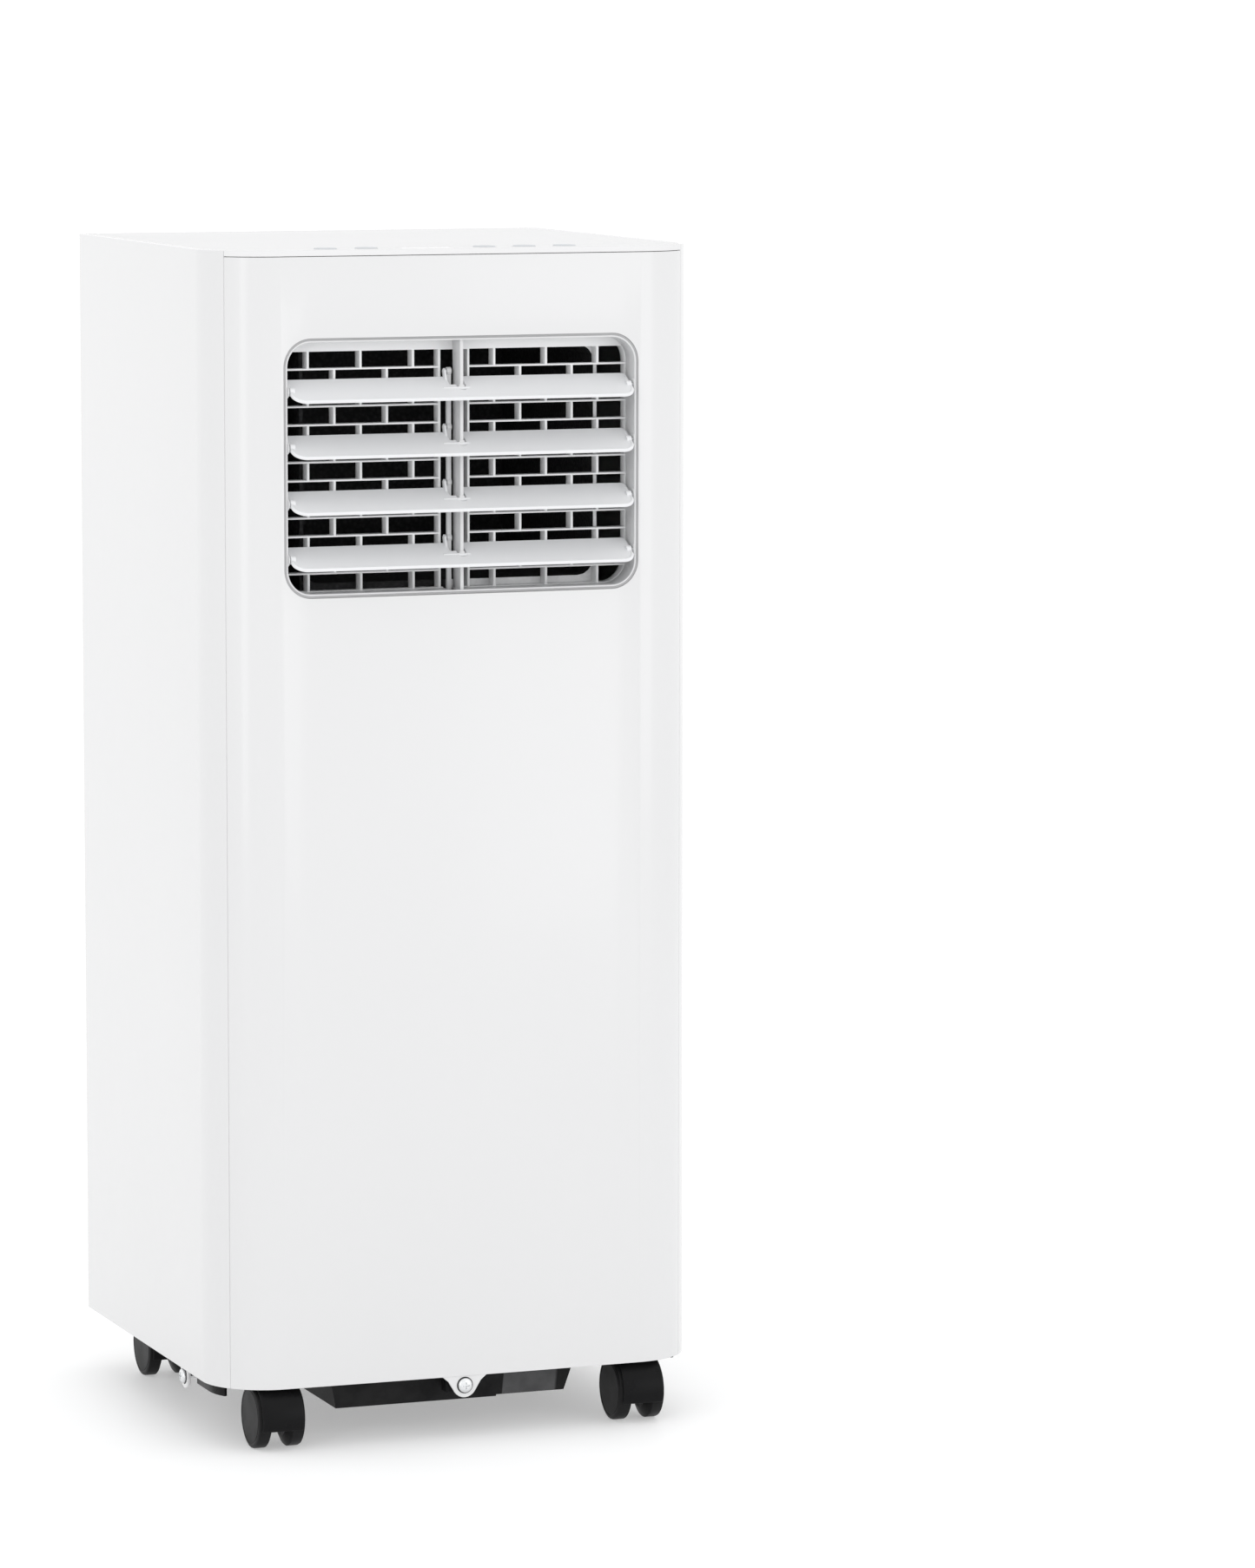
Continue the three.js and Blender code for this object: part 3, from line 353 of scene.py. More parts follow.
WHITE = (0.69, 0.69, 0.694)
MATS = {
    "white_gloss": moulded("white_gloss", WHITE, 0.22, grain=2600, grain_strength=0.006,
                           variation=0.003, coat=0.2, ior=1.5, spread=0.012),
    "white_satin": moulded("white_satin", (0.66, 0.662, 0.668), 0.42, grain=1400, grain_strength=0.12,
                           variation=0.012),
    "grille_white": moulded("grille_white", (0.84, 0.843, 0.848), 0.45, grain=1400, grain_strength=0.1,
                            variation=0.015),
    "louver_white": moulded("louver_white", (0.76, 0.766, 0.778), 0.36, grain=1200, grain_strength=0.05,
                            peel=0.01, variation=0.01),
    "button_grey": moulded("button_grey", (0.58, 0.6, 0.62), 0.42, grain=1600, grain_strength=0.15,
                           variation=0.02, wear=0.3, wear_color=(0.7, 0.71, 0.72)),
    "display_glass": smoked("display_glass"),
    "circuit_board": solder_mask("circuit_board"),
    "foam": beaded("foam", (0.62, 0.63, 0.61)),
    "duct_foam_painted_shade": duct_painted_shade("duct_foam_painted_shade"),
    "black_plastic": moulded("black_plastic", (0.006, 0.006, 0.0065), 0.3, grain=1500,
                             grain_strength=0.12, variation=0.12, wear=0.3,
                             wear_color=(0.04, 0.04, 0.04), dust=0.01, ior=1.33),
    "tray_black_painted_light": tray_black_painted_light("tray_black_painted_light"),
    "caster_tread": moulded("caster_tread", (0.006, 0.006, 0.0065), 0.36, grain=1100,
                            grain_strength=0.2, variation=0.15, wear=0.4,
                            wear_color=(0.05, 0.05, 0.05), dust=0.01, ior=1.33),
    "steel_bright": metallic("steel_bright", (0.78, 0.79, 0.8), 0.16, amount=0.12),
    "steel_zinc": metallic("steel_zinc", (0.6, 0.61, 0.62), 0.4, (1, 1, 1), 90.0, (0.42, 0.44, 0.46), 0.6),
    "steel_black": moulded("steel_black", (0.025, 0.025, 0.027), 0.3, grain=500, grain_strength=0.08,
                           peel=0.08, variation=0.1, wear=0.5, wear_color=(0.2, 0.2, 0.2)),
    "aluminium_fin": finned("aluminium_fin"),
    "copper_tube": metallic("copper_tube", (0.78, 0.4, 0.24), 0.26, (1, 1, 1), 40.0, (0.3, 0.14, 0.08), 0.5),
    "mark_grey": moulded("mark_grey", (0.3, 0.31, 0.33), 0.5, variation=0.03),
    # Grey used as painted shade round the outlet's opening.
    "seam_painted_shade": moulded("seam_painted_shade", (0.4, 0.4, 0.405), 0.5, grain=1200, variation=0.03),
    "white_top": moulded("white_top", (0.74, 0.74, 0.744), 0.5, grain=1500, grain_strength=0.1,
                         variation=0.006, ior=1.28, spread=0.02),
    "ring_painted_shade": moulded("ring_painted_shade", (0.02, 0.02, 0.02), 0.6, variation=0.1),
    "filter_net": woven("filter_net"),
}

BLACK_SPECULAR = 0.15
for black in ("black_plastic", "tray_black_painted_light", "caster_tread"):
    black_shader = MATS[black].node_tree.nodes["Principled BSDF"]
    black_shader.inputs["Specular IOR Level"].default_value = BLACK_SPECULAR

# ------------------------------------------------------------------- 2-D paths


def arc(cx, cy, r, start, end, steps):
    points = []
    for i in range(steps + 1):
        a = math.radians(start + (end - start) * i / steps)
        points.append((cx + r * math.cos(a), cy + r * math.sin(a)))
    return points


def mirrored(points):
    return [(-x, y) for x, y in reversed(points)]


def rounded_rect(half, bottom, top, r, steps=10, cx=0.0):
    x = half - r
    return (arc(cx + x, bottom + r, r, -90, 0, steps) + arc(cx + x, top - r, r, 0, 90, steps)
            + arc(cx - x, top - r, r, 90, 180, steps) + arc(cx - x, bottom + r, r, 180, 270, steps))


def rect(x0, x1, y0, y1):
    return [(x0, y0), (x1, y0), (x1, y1), (x0, y1)]


def circle(cx, cy, r, steps=48):
    return arc(cx, cy, r, 0, 360 - 360 / steps, steps - 1)


def bow_line(inset):
    steps = 24
    points = []
    for i in range(1, steps):
        t = -1 + 2 * i / steps
        points.append((cornerX * t, -DEPTH / 2 + BOW * t * t + inset))
    return points


def front_line(inset):
    right = arc(cornerX, cornerY, CORNER_R - inset, -90, -90 + SEAM_ANGLE, 20)
    return mirrored(right) + bow_line(inset) + right


def side_line(inset):
    return (arc(cornerX, cornerY, CORNER_R - inset, -90 + SEAM_END, 0, 16)
            + arc(backX, backY, BACK_R - inset, 0, 90, 8)
            + [(backX - REAR_FLANGE + BACK_R, DEPTH / 2 - inset)])


def outlet_rect(inset, steps=14):
    return rounded_rect(OUTLET_HALF - inset, OUTLET_BOTTOM + inset, OUTLET_TOP - inset,
                        OUTLET_R - inset, steps)


def clipped(polygon, window):
    """The part of a polygon inside a convex window whose points run anticlockwise."""
    for i in range(len(window)):
        (ax, ay), (bx, by) = window[i], window[(i + 1) % len(window)]
        if abs(ax - bx) + abs(ay - by) < 1e-9:
            continue
        result = []
        for j in range(len(polygon)):
            p, q = polygon[j], polygon[(j + 1) % len(polygon)]
            dp = (bx - ax) * (p[1] - ay) - (by - ay) * (p[0] - ax)
            dq = (bx - ax) * (q[1] - ay) - (by - ay) * (q[0] - ax)
            if dp >= 0:
                result.append(p)
            if dp * dq < 0:
                t = dp / (dp - dq)
                result.append((p[0] + (q[0] - p[0]) * t, p[1] + (q[1] - p[1]) * t))
        polygon = result
        if len(polygon) < 3:
            return []
    return polygon

# -------------------------------------------------------------- mesh building


def link(obj):
    bpy.context.scene.collection.objects.link(obj)
    return obj


def shade(mesh, angle=32.0):
    mesh.shade_smooth()
    mesh.set_sharp_from_angle(angle=math.radians(angle))


def to_row(mesh):
    mesh.transform(Matrix.Scale(0.001, 4) @ Matrix.Translation((0, SHIFT, 0)))


def from_points(name, points, faces):
    """A mesh object in part millimetres; it isn't in the row frame yet."""
    mesh = bpy.data.meshes.new(name)
    mesh.from_pydata(points, [], faces)
    bm = bmesh.new()
    bm.from_mesh(mesh)
    bmesh.ops.remove_doubles(bm, verts=bm.verts, dist=1e-5)
    bmesh.ops.recalc_face_normals(bm, faces=bm.faces)
    bm.to_mesh(mesh)
    bm.free()
    return link(bpy.data.objects.new(name, mesh))


def strip(name, outer, inner, z0, z1):
    """A wall between two open lines of the same length, standing from z0 to z1."""
    count = len(outer)
    points = []
    for line in (outer, inner):
        for z in (z0, z1):
            points += [(x, y, z) for x, y in line]
    a, b, c, d = 0, count, 2 * count, 3 * count
    faces = []
    for i in range(count - 1):
        faces.append((a + i, a + i + 1, b + i + 1, b + i))
        faces.append((c + i, d + i, d + i + 1, c + i + 1))
        faces.append((b + i, b + i + 1, d + i + 1, d + i))
        faces.append((a + i, c + i, c + i + 1, a + i + 1))
    for i in (0, count - 1):
        faces.append((a + i, b + i, d + i, c + i))
    return from_points(name, points, faces)


def prism(name, outline, low, high, plane="xz"):
    """A solid outline pulled along the axis that its plane leaves out."""
    order = {"xz": lambda u, v, w: (u, w, v),
             "xy": lambda u, v, w: (u, v, w),
             "yz": lambda u, v, w: (w, u, v)}[plane]
    count = len(outline)
    points = [order(u, v, low) for u, v in outline] + [order(u, v, high) for u, v in outline]
    faces = [tuple(range(count)), tuple(range(2 * count - 1, count - 1, -1))]
    for i in range(count):
        j = (i + 1) % count
        faces.append((i, j, count + j, count + i))
    return from_points(name, points, faces)


def evaluated(obj):
    graph = bpy.context.evaluated_depsgraph_get()
    mesh = bpy.data.meshes.new_from_object(obj.evaluated_get(graph))
    mesh.name = obj.name
    return mesh


def plate(name, outlines, low, high, bevel=0.4, plane="xz", rounds=2):
    """A flat plate with holes and rounded edges, pulled from low to high."""
    curve = bpy.data.curves.new(name, "CURVE")
    curve.dimensions = "2D"
    curve.fill_mode = "BOTH"
    for outline in outlines:
        spline = curve.splines.new("POLY")
        spline.points.add(len(outline) - 1)
        for point, (u, v) in zip(spline.points, outline):
            point.co = (u, v, 0, 1)
        spline.use_cyclic_u = True
    curve.extrude = (high - low) / 2 - bevel
    curve.bevel_depth = bevel
    curve.bevel_resolution = rounds
    curve.offset = -bevel
    holder = link(bpy.data.objects.new(name, curve))
    mesh = evaluated(holder)
    bpy.data.objects.remove(holder)
    middle = (low + high) / 2
    if plane == "xz":
        mesh.transform(Matrix.Translation((0, middle, 0)) @ Matrix.Rotation(math.radians(90), 4, "X"))
    elif plane == "xy":
        mesh.transform(Matrix.Translation((0, 0, middle)))
    else:
        turn = Matrix(((0, 0, 1, middle), (1, 0, 0, 0), (0, 1, 0, 0), (0, 0, 0, 1)))
        mesh.transform(turn)
    mesh.materials.clear()
    return link(bpy.data.objects.new(name, mesh))


def block(name, x0, x1, y0, y1, z0, z1, bevel=0.3, segments=2):
    obj = prism(name, rect(x0, x1, z0, z1), y0, y1)
    bevelled(obj, bevel, segments)
    return obj


def bevelled(obj, width, segments=3, angle=32.0):
    mod = obj.modifiers.new("edges", "BEVEL")
    mod.width = width
    mod.segments = segments
    mod.limit_method = "ANGLE"
    mod.angle_limit = math.radians(angle)
    return applied(obj)


def applied(obj):
    mesh = evaluated(obj)
    obj.modifiers.clear()
    obj.data = mesh
    return obj


def boolean(obj, other):
    """Cuts the other object out of this one and removes it."""
    mod = obj.modifiers.new("cut", "BOOLEAN")
    mod.object = other
    mod.operation = "DIFFERENCE"
    mod.solver = "EXACT"
    applied(obj)
    bpy.data.objects.remove(other)
    return obj


def lathe(name, profile, steps=64, axis="z", at=(0, 0, 0), flip=1):
    """Profile points are (radius, height); the height runs along the axis, times flip."""
    points, faces = [], []
    count = len(profile)
    for i in range(steps):
        a = 2 * math.pi * i / steps
        for r, h in profile:
            u, v, w = r * math.cos(a), r * math.sin(a), h * flip
            point = {"z": (u, v, w), "y": (u, w, v), "x": (w, u, v)}[axis]
            points.append(tuple(p + q for p, q in zip(point, at)))
    for i in range(steps):
        j = (i + 1) % steps
        for k in range(count - 1):
            faces.append((i * count + k, j * count + k, j * count + k + 1, i * count + k + 1))
    return from_points(name, points, faces)


def tube(name, points, radius):
    curve = bpy.data.curves.new(name, "CURVE")
    curve.dimensions = "3D"
    curve.bevel_depth = radius
    curve.bevel_resolution = 4
    curve.use_fill_caps = True
    spline = curve.splines.new("POLY")
    spline.points.add(len(points) - 1)
    for point, co in zip(spline.points, points):
        point.co = (*co, 1)
    holder = link(bpy.data.objects.new(name, curve))
    mesh = evaluated(holder)
    bpy.data.objects.remove(holder)
    mesh.materials.clear()
    return link(bpy.data.objects.new(name, mesh))


def merged(name, objects):
    bm = bmesh.new()
    for obj in objects:
        bm.from_mesh(obj.data)
        bpy.data.objects.remove(obj)
    mesh = bpy.data.meshes.new(name)
    bm.to_mesh(mesh)
    bm.free()
    return link(bpy.data.objects.new(name, mesh))


def finish_piece(obj, body, slot, material=None, replaces=(), angle=32.0, name=None):
    """Takes a piece from part millimetres to the row frame and hands it to its body."""
    to_row(obj.data)
    shade(obj.data, angle)
    obj.data.materials.clear()
    obj.data.materials.append(MATS[material or slot])
    if name:
        obj.name = name
    if replaces:
        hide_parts(*replaces)
    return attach(obj, body)


def moved(obj, matrix):
    obj.data.transform(matrix)
    return obj


def flipped(obj):
    """The piece's mirror image across the middle plane."""
    moved(obj, Matrix.Scale(-1, 4, (1, 0, 0)))
    obj.data.flip_normals()
    return obj

# ------------------------------------------------------------------- the shell


def screw_ear(half):
    top = SHELL_BOTTOM + 2
    flank = [(-half, SHELL_BOTTOM + 0.2), (-half * 0.72, SHELL_BOTTOM - 3.0)]
    return [(half, top), (-half, top)] + flank + arc(0, EAR_Z, EAR_R, 208, 332, 20) + mirrored(flank)


def make_front():
    wall = strip("front_panel_v", front_line(0), front_line(WALL - 1), SHELL_BOTTOM, FRONT_TOP)
    boolean(wall, prism("opening", outlet_rect(0), -DEPTH / 2 - 5, -DEPTH / 2 + 8))
    bevelled(wall, PANEL_EDGE, 3)
    front = -DEPTH / 2 + FRONT_EAR_INSET
    ear = plate("ear", [screw_ear(13.6), circle(0, EAR_Z, EAR_HOLE_R, 24)], front, front + 2, 0.45)
    finish_piece(merged("front_panel_v", [wall, ear]), "body", "white_gloss", replaces=["front_panel"])


def make_side(side):
    wall = strip("side_v", side_line(0), side_line(WALL), SHELL_BOTTOM, HEIGHT)
    bevelled(wall, PANEL_EDGE, 3)
    outer = WIDTH / 2 - SIDE_EAR_INSET
    ear = plate("ear", [[(x + LEFT_EAR_Y, z) for x, z in screw_ear(9)],
                        circle(LEFT_EAR_Y, EAR_Z, EAR_HOLE_R, 24)], outer - 2, outer, 0.4, "yz")
    whole = merged("side_v", [wall, ear])
    name = "right_side_panel"
    if side < 0:
        flipped(whole)
        name = "left_side_panel"
    finish_piece(whole, "body", "white_gloss", replaces=[name], name=name + "_v")


def make_seams():
    """A white lip set back in each gap between the front and a side panel."""
    start, end = -90 + SEAM_ANGLE + 0.04, -90 + SEAM_END - 0.04
    lips = []
    for side in (-1, 1):
        outer, inner = (arc(cornerX, cornerY, CORNER_R - inset, start, end, 2) for inset in (0.3, 1.3))
        lip = strip("lip", outer, inner, SHELL_BOTTOM + 0.4, FRONT_TOP - 0.4)
        lips.append(flipped(lip) if side < 0 else lip)
    finish_piece(merged("panel_seams_v", lips), "body", "white_gloss")


COVER_R = CORNER_R - WALL - GAP
COVER_REAR_R = 3.0
STRIP_ANGLE = math.degrees(math.asin((STRIP_REAR - cornerY) / COVER_R))


def make_top():
    right = arc(cornerX, cornerY, COVER_R, -90 + SEAM_ANGLE, STRIP_ANGLE, 12)
    outline = front_line(0) + right[1:] + mirrored(right)[:-1]
    w, d = DISPLAY_W / 2 + GAP, DISPLAY_D / 2 + GAP
    window = [(x + DISPLAY_X, y) for x, y in rounded_rect(w, DISPLAY_Y - d, DISPLAY_Y + d, 1.6, 5)]
    holes = [circle(x, BUTTON_Y, BUTTON_R + GAP) for x in BUTTON_X]
    control = plate("control_panel_v", [outline, window] + holes, COVER_BOTTOM, HEIGHT, 0.5, "xy", 3)
    finish_piece(control, "body", "white_gloss", "white_top", ["control_panel"])

    side = WIDTH / 2 - WALL - GAP
    rear = REAR_FACE - WALL - GAP
    right = arc(cornerX, cornerY, COVER_R, STRIP_ANGLE + 0.5, 0, 10)
    right += arc(side - COVER_REAR_R, rear - COVER_REAR_R, COVER_REAR_R, 0, 90, 6)
    cover = plate("top_cover_v", [right + mirrored(right)], COVER_BOTTOM, HEIGHT, 0.5, "xy", 3)
    finish_piece(cover, "body", "white_gloss", "white_top", ["top_cover"])

    w, d = DISPLAY_W / 2, DISPLAY_D / 2
    glass = plate("display_window_v", [[(x + DISPLAY_X, y) for x, y in
                                        rounded_rect(w, DISPLAY_Y - d, DISPLAY_Y + d, 1.4, 5)]],
                  HEIGHT - 2.2, HEIGHT - 0.1, 0.25, "xy")
    finish_piece(glass, "body", "display_glass", replaces=["display_window"])


def symbol(kind, x, y):
    """A small generic mark printed behind a button."""
    low, high = HEIGHT - 0.02, HEIGHT + 0.04
    parts = []

    def mark(outlines, top=high):
        parts.append(plate("mark", outlines, low, top, 0.01, "xy"))

    if kind == "power":
        mark([arc(x, y, 1.7, 125, 415, 24) + arc(x, y, 1.25, 415, 125, 24)])
        mark([rect(x - 0.22, x + 0.22, y + 0.5, y + 2.1)])
    elif kind in ("plus", "minus"):
        mark([rect(x - 1.6, x + 1.6, y - 0.24, y + 0.24)])
        if kind == "plus":
            mark([rect(x - 0.24, x + 0.24, y - 1.6, y + 1.6)], high + 0.005)
    elif kind == "timer":
        mark([circle(x, y, 1.7, 32), circle(x, y, 1.3, 32)])
        mark([rect(x - 0.16, x + 0.16, y - 0.16, y + 1.0)])
        mark([rect(x - 0.16, x + 0.8, y - 0.16, y + 0.16)])
    else:
        for turn in (90, 210, 330):
            angle = math.radians(turn)
            middle = (x + 0.85 * math.cos(angle), y + 0.85 * math.sin(angle))
            mark([arc(*middle, 0.85, turn - 60, turn + 150, 12)])
        mark([circle(x, y, 0.4, 16)])
    return parts


def make_buttons():
    for i, x in enumerate(BUTTON_X):
        r = BUTTON_R
        profile = [(0, -3), (r, -3), (r, 0.1), (r - 0.12, 0.42), (r - 0.4, 0.64), (r - 0.9, 0.7),
                   (r - 1.6, 0.62), (r - 3.2, 0.42), (r - 5.0, 0.34), (0, 0.33)]
        cap = lathe("cap", profile, 64, "z", (x, BUTTON_Y, HEIGHT))
        stem = lathe("stem", [(0, -9.5), (1.8, -9.5), (1.8, -2.5), (0, -2.5)], 24, "z", (x, BUTTON_Y, HEIGHT))
        finish_piece(merged(f"button_{i + 1}_v", [cap, stem]), f"button_{i + 1}", "button_grey",
                     replaces=[f"button_{i + 1}"])
    marks = []
    for kind, x in zip(("power", "fan", "minus", "plus", "timer"), BUTTON_X):
        marks += symbol(kind, x, BUTTON_Y + 10.2)
    finish_piece(merged("button_marks_v", marks), "body", "button_grey", "mark_grey", angle=20)

# ------------------------------------------------------------------ air outlet


def brick_holes():
    half = GRILLE_BAR / 2
    wall = OUTLET_HALF - OUTLET_WALL
    window = outlet_rect(OUTLET_WALL, 10)
    holes = []
    for row in range(GRILLE_ROWS):
        z1 = GRILLE_TOP_BAR - row * GRILLE_PITCH - BAR_HEIGHT / 2
        z0 = z1 - GRILLE_PITCH + BAR_HEIGHT
        joints = [GRILLE_SLOT]
        x = GRILLE_SLOT + BRICK * (0.5 if row % 2 == 0 else 1.0)
        while x < wall - 3:
            joints.append(x)
            x += BRICK
        joints.append(wall + half)
        for a, b in zip(joints, joints[1:]):
            shape = clipped(rect(a + half, b - half, z0, z1), window)
            if shape:
                holes.append(shape)
                holes.append(mirrored(shape))
    return holes


def make_outlet():
    rim = -DEPTH / 2 + BOW + 0.1
    lip = outlet_rect(OUTLET_LIP)
    # Painted shade: a grey band just inside the opening's edge stands in for the shaded edge of the front
    # panel round the outlet.
    shade_seam = plate("outlet_seam_shade_v", [outlet_rect(SEAM_EDGE), lip], rim + 0.7, rim + 1.9, 0.05, "xz", 1)
    finish_piece(shade_seam, "body", "white_satin", "seam_painted_shade")
    ring = plate("ring", [lip, outlet_rect(OUTLET_WALL)], rim + 0.2, GRILLE_FRONT - GAP, 0.4, "xz", 3)
    boolean(ring, block("bar_way", LINK_X - LINK_WAY, LINK_X + LINK_WAY, LOUVER_Y - 0.9, GRILLE_FRONT + 1,
                        OUTLET_BOTTOM - 1, OUTLET_BOTTOM + 4, 0.1, 1))
    post = block("post", -1, 1.1, LOUVER_Y - 0.4, GRILLE_FRONT - GAP,
                 OUTLET_BOTTOM + 1, OUTLET_TOP - 1, 0.45, 3)
    parts = [ring, post]
    boss = [(1.6, 0), (3.6, 0), (3.6, 0.35), (3.2, 0.7), (1.9, 0.7), (1.6, 0.5), (1.6, 0)]
    for i in range(LOUVER_COUNT):
        z = LOUVER_TOP_Z - i * LOUVER_PITCH
        for side in (-1, 1):
            x = side * (OUTLET_HALF - OUTLET_WALL)
            parts.append(lathe("boss", boss, 32, "x", (x, LOUVER_Y, z), -side))
        parts.append(block("clip", -1.5, 1.6, LOUVER_Y - 0.9, LOUVER_Y + 1.6, z - 2.2, z + 2.2, 0.4, 2))
    finish_piece(merged("outlet_frame_v", parts), "body", "white_satin", replaces=["outlet_frame"])

    z_top = GRILLE_TOP_BAR - GRILLE_BAR / 2
    z_low = GRILLE_TOP_BAR - GRILLE_ROWS * GRILLE_PITCH + GRILLE_BAR / 2
    half = GRILLE_SLOT - GRILLE_BAR / 2
    face = plate("outlet_grille_v", [outlet_rect(GAP), rect(-half, half, z_low, z_top)] + brick_holes(),
                 GRILLE_FRONT, GRILLE_BACK, 0.3, "xz", 2)
    boolean(face, block("bar_way", LINK_X - LINK_WAY, LINK_X + LINK_WAY, GRILLE_FRONT - 1, GRILLE_BACK + 1,
                        OUTLET_BOTTOM - 1, z_low + 1, 0.1, 1))
    finish_piece(face, "body", "white_satin", "grille_white", ["outlet_grille"])


def blade_outline():
    half = LOUVER_CHORD / 2
    right = (arc(LOUVER_HALF - 8, -half + 8, 8, -90, 0, 12)
             + arc(LOUVER_HALF - 3, half - 3, 3, 0, 90, 6))
    notch = ([(3, half)] + arc(0.4, -0.2, 2.6, 0, -180, 12)
             + [(-2.2, LINK_NOTCH), (ARM_RIGHT, LINK_NOTCH), (ARM_RIGHT, half)])
    return right, notch


def make_louvers():
    half = LOUVER_CHORD / 2
    for i in range(LOUVER_COUNT):
        right, notch = blade_outline()
        blade = plate("blade", [right + notch + mirrored(right)],
                      -LOUVER_THICK / 2, LOUVER_THICK / 2, 0.4, "xy", 3)
        lip = arc(LOUVER_HALF - 8, -half + 8, 7.0, -90, 0, 14) + [(LOUVER_HALF - 1.0, half - 5)]
        points = [(-x, y, 0.25) for x, y in reversed(lip)] + [(x, y, 0.25) for x, y in lip]
        parts = [blade, tube("lip", points, 0.95)]
        parts.append(lathe("hinge", [(0, -8), (1.1, -8), (1.1, 8), (0, 8)], 24, "x", (-3, 0, 0)))
        pin = [(0, 0), (1.15, 0), (1.15, 4.3), (0.9, 4.6), (0, 4.6)]
        collar = [(0, 0), (2.2, 0), (2.4, 0.3), (2.4, 2.8), (2.1, 3.1), (0, 3.1)]
        for side in (-1, 1):
            parts.append(lathe("pin", pin, 24, "x", (side * (LOUVER_HALF - 1.4), 0, 0), side))
            parts.append(lathe("collar", collar, 32, "x", (side * (LOUVER_HALF - 3.2), 0, 0), side))
        outline = [(6, -0.5), (12, -0.5), (PIN_ALONG + 1.6, PIN_ABOVE - 0.6),
                   (PIN_ALONG + 0.9, PIN_ABOVE + 1.6), (PIN_ALONG - 1.2, PIN_ABOVE + 1.6)]
        parts.append(bevelled(prism("arm", outline, ARM_LEFT, ARM_RIGHT, "yz"), 0.35, 2))
        parts.append(lathe("pivot", [(0, -2.3), (0.9, -2.3), (0.9, 2.0), (0.6, 2.3), (0, 2.3)], 20, "x",
                           (LINK_X - 0.9, PIN_ALONG, PIN_ABOVE)))
        whole = merged(f"louver_{i + 1}_v", parts)
        tilt = Matrix.Rotation(math.radians(LOUVER_TILT), 4, "X")
        moved(whole, Matrix.Translation((0, LOUVER_Y, LOUVER_TOP_Z - i * LOUVER_PITCH)) @ tilt)
        finish_piece(whole, f"louver_{i + 1}", "louver_white", replaces=[f"louver_{i + 1}"])

# --------------------------------------------------------------------- casters


def make_caster(tag):
    x0, y0 = CASTERS[tag]
    ay = y0 - AXLE_OFFSET
    side = WHEEL_OUTER - 1.6
    rib = WHEEL_INNER - 0.4
    outer = arc(ay, WHEEL_R, HOOD_R, 197, 20, 40)
    inner = arc(ay, WHEEL_R, HOOD_R - 1.5, 20, 197, 40)
    cover = prism("cover", outer + inner, x0 - side, x0 + side, "yz")
    bevelled(cover, 0.5, 3, 40)
    web = prism("web", arc(ay, WHEEL_R, HOOD_R - 0.8, 168, 26, 24) + arc(ay, WHEEL_R, 5, 0, -180, 16),
                x0 - rib, x0 + rib, "yz")
    bevelled(web, 0.4, 2, 40)
    neck = lathe("neck", [(0, 35.6), (6.2, 35.6), (6.5, 36), (6.5, 37.9), (6.2, 38.2), (4, 38.3),
                          (4, 57.6), (3.2, 59.5), (0, 59.5)], 40, "z", (x0, y0, 0))
    key = block("key", x0 - rib, x0 + rib, y0 - 6, y0 + 5, 30, 37, 0.5, 2)
    hood = merged(f"caster_hood_{tag}_v", [cover, web, neck, key])
    finish_piece(hood, f"caster_{tag}", "black_plastic", replaces=[f"caster_hood_{tag}"], angle=38)
    end = WHEEL_OUTER - 1
    profile = [(0, -end), (1.5, -end), (1.9, 0.4 - end), (1.9, end - 0.4), (1.5, end), (0, end)]
    axle = lathe(f"caster_axle_{tag}_v", profile, 32, "x", (x0, ay, WHEEL_R))
    finish_piece(axle, f"caster_{tag}", "steel_bright", replaces=[f"caster_axle_{tag}"])
    for letter, flip in (("l", -1), ("r", 1)):
        r, wi, wo = WHEEL_R, WHEEL_INNER, WHEEL_OUTER
        profile = [(0, wi), (6, wi), (6.4, wi + 0.3), (r - 6.6, wi + 0.3), (r - 6.0, wi + 0.25),
                   (r - 0.5, wi + 2.8), (r, wi + 3.3), (r, wo - 1.3), (r - 0.35, wo - 0.45),
                   (r - 1.1, wo - 0.1), (r - 2.2, wo), (r - 2.5, wo - 0.18), (r - 2.9, wo - 0.18),
                   (r - 3.2, wo - 0.02), (9.5, wo), (0, wo)]
        parts = [lathe("wheel", profile, 80, "x", (x0, ay, WHEEL_R), flip)]
        for i in range(12):
            a = 2 * math.pi * i / 12
            spoke = block("spoke", wi + 0.2, wi + 1.2, -0.45, 0.45, 5.6, r - 6.2, 0.2, 1)
            if flip < 0:
                flipped(spoke)
            moved(spoke, Matrix.Translation((x0, ay, WHEEL_R)) @ Matrix.Rotation(a, 4, "X"))
            parts.append(spoke)
        whole = merged(f"caster_wheel_{tag}_{letter}_v", parts)
        finish_piece(whole, f"caster_wheel_{tag}_{letter}", "caster_tread",
                     replaces=[f"caster_wheel_{tag}_{letter}"], angle=24)


def make_screw(name, node, matrix):
    head = lathe("head", [(0, -0.8), (4.0, -0.8), (4.2, -0.6), (4.2, -0.1), (4.05, 0.3), (3.5, 0.8),
                          (2.6, 1.14), (1.4, 1.27), (0, 1.3)], 48)
    for a in (0, 90):
        cutter = block("recess", -2.1, 2.1, -0.42, 0.42, 0.35, 3, 0.1, 1)
        moved(cutter, Matrix.Rotation(math.radians(a), 4, "Z"))
        boolean(head, cutter)
    shank = lathe("shank", [(0, -10.5), (1.2, -10.5), (1.6, -9.6), (1.6, -0.7), (0, -0.7)], 24)
    whole = moved(merged(name, [head, shank]), matrix)
    finish_piece(whole, "body", "steel_bright", replaces=[node], angle=28)


# ------------------------------------------------------------------ rear panel


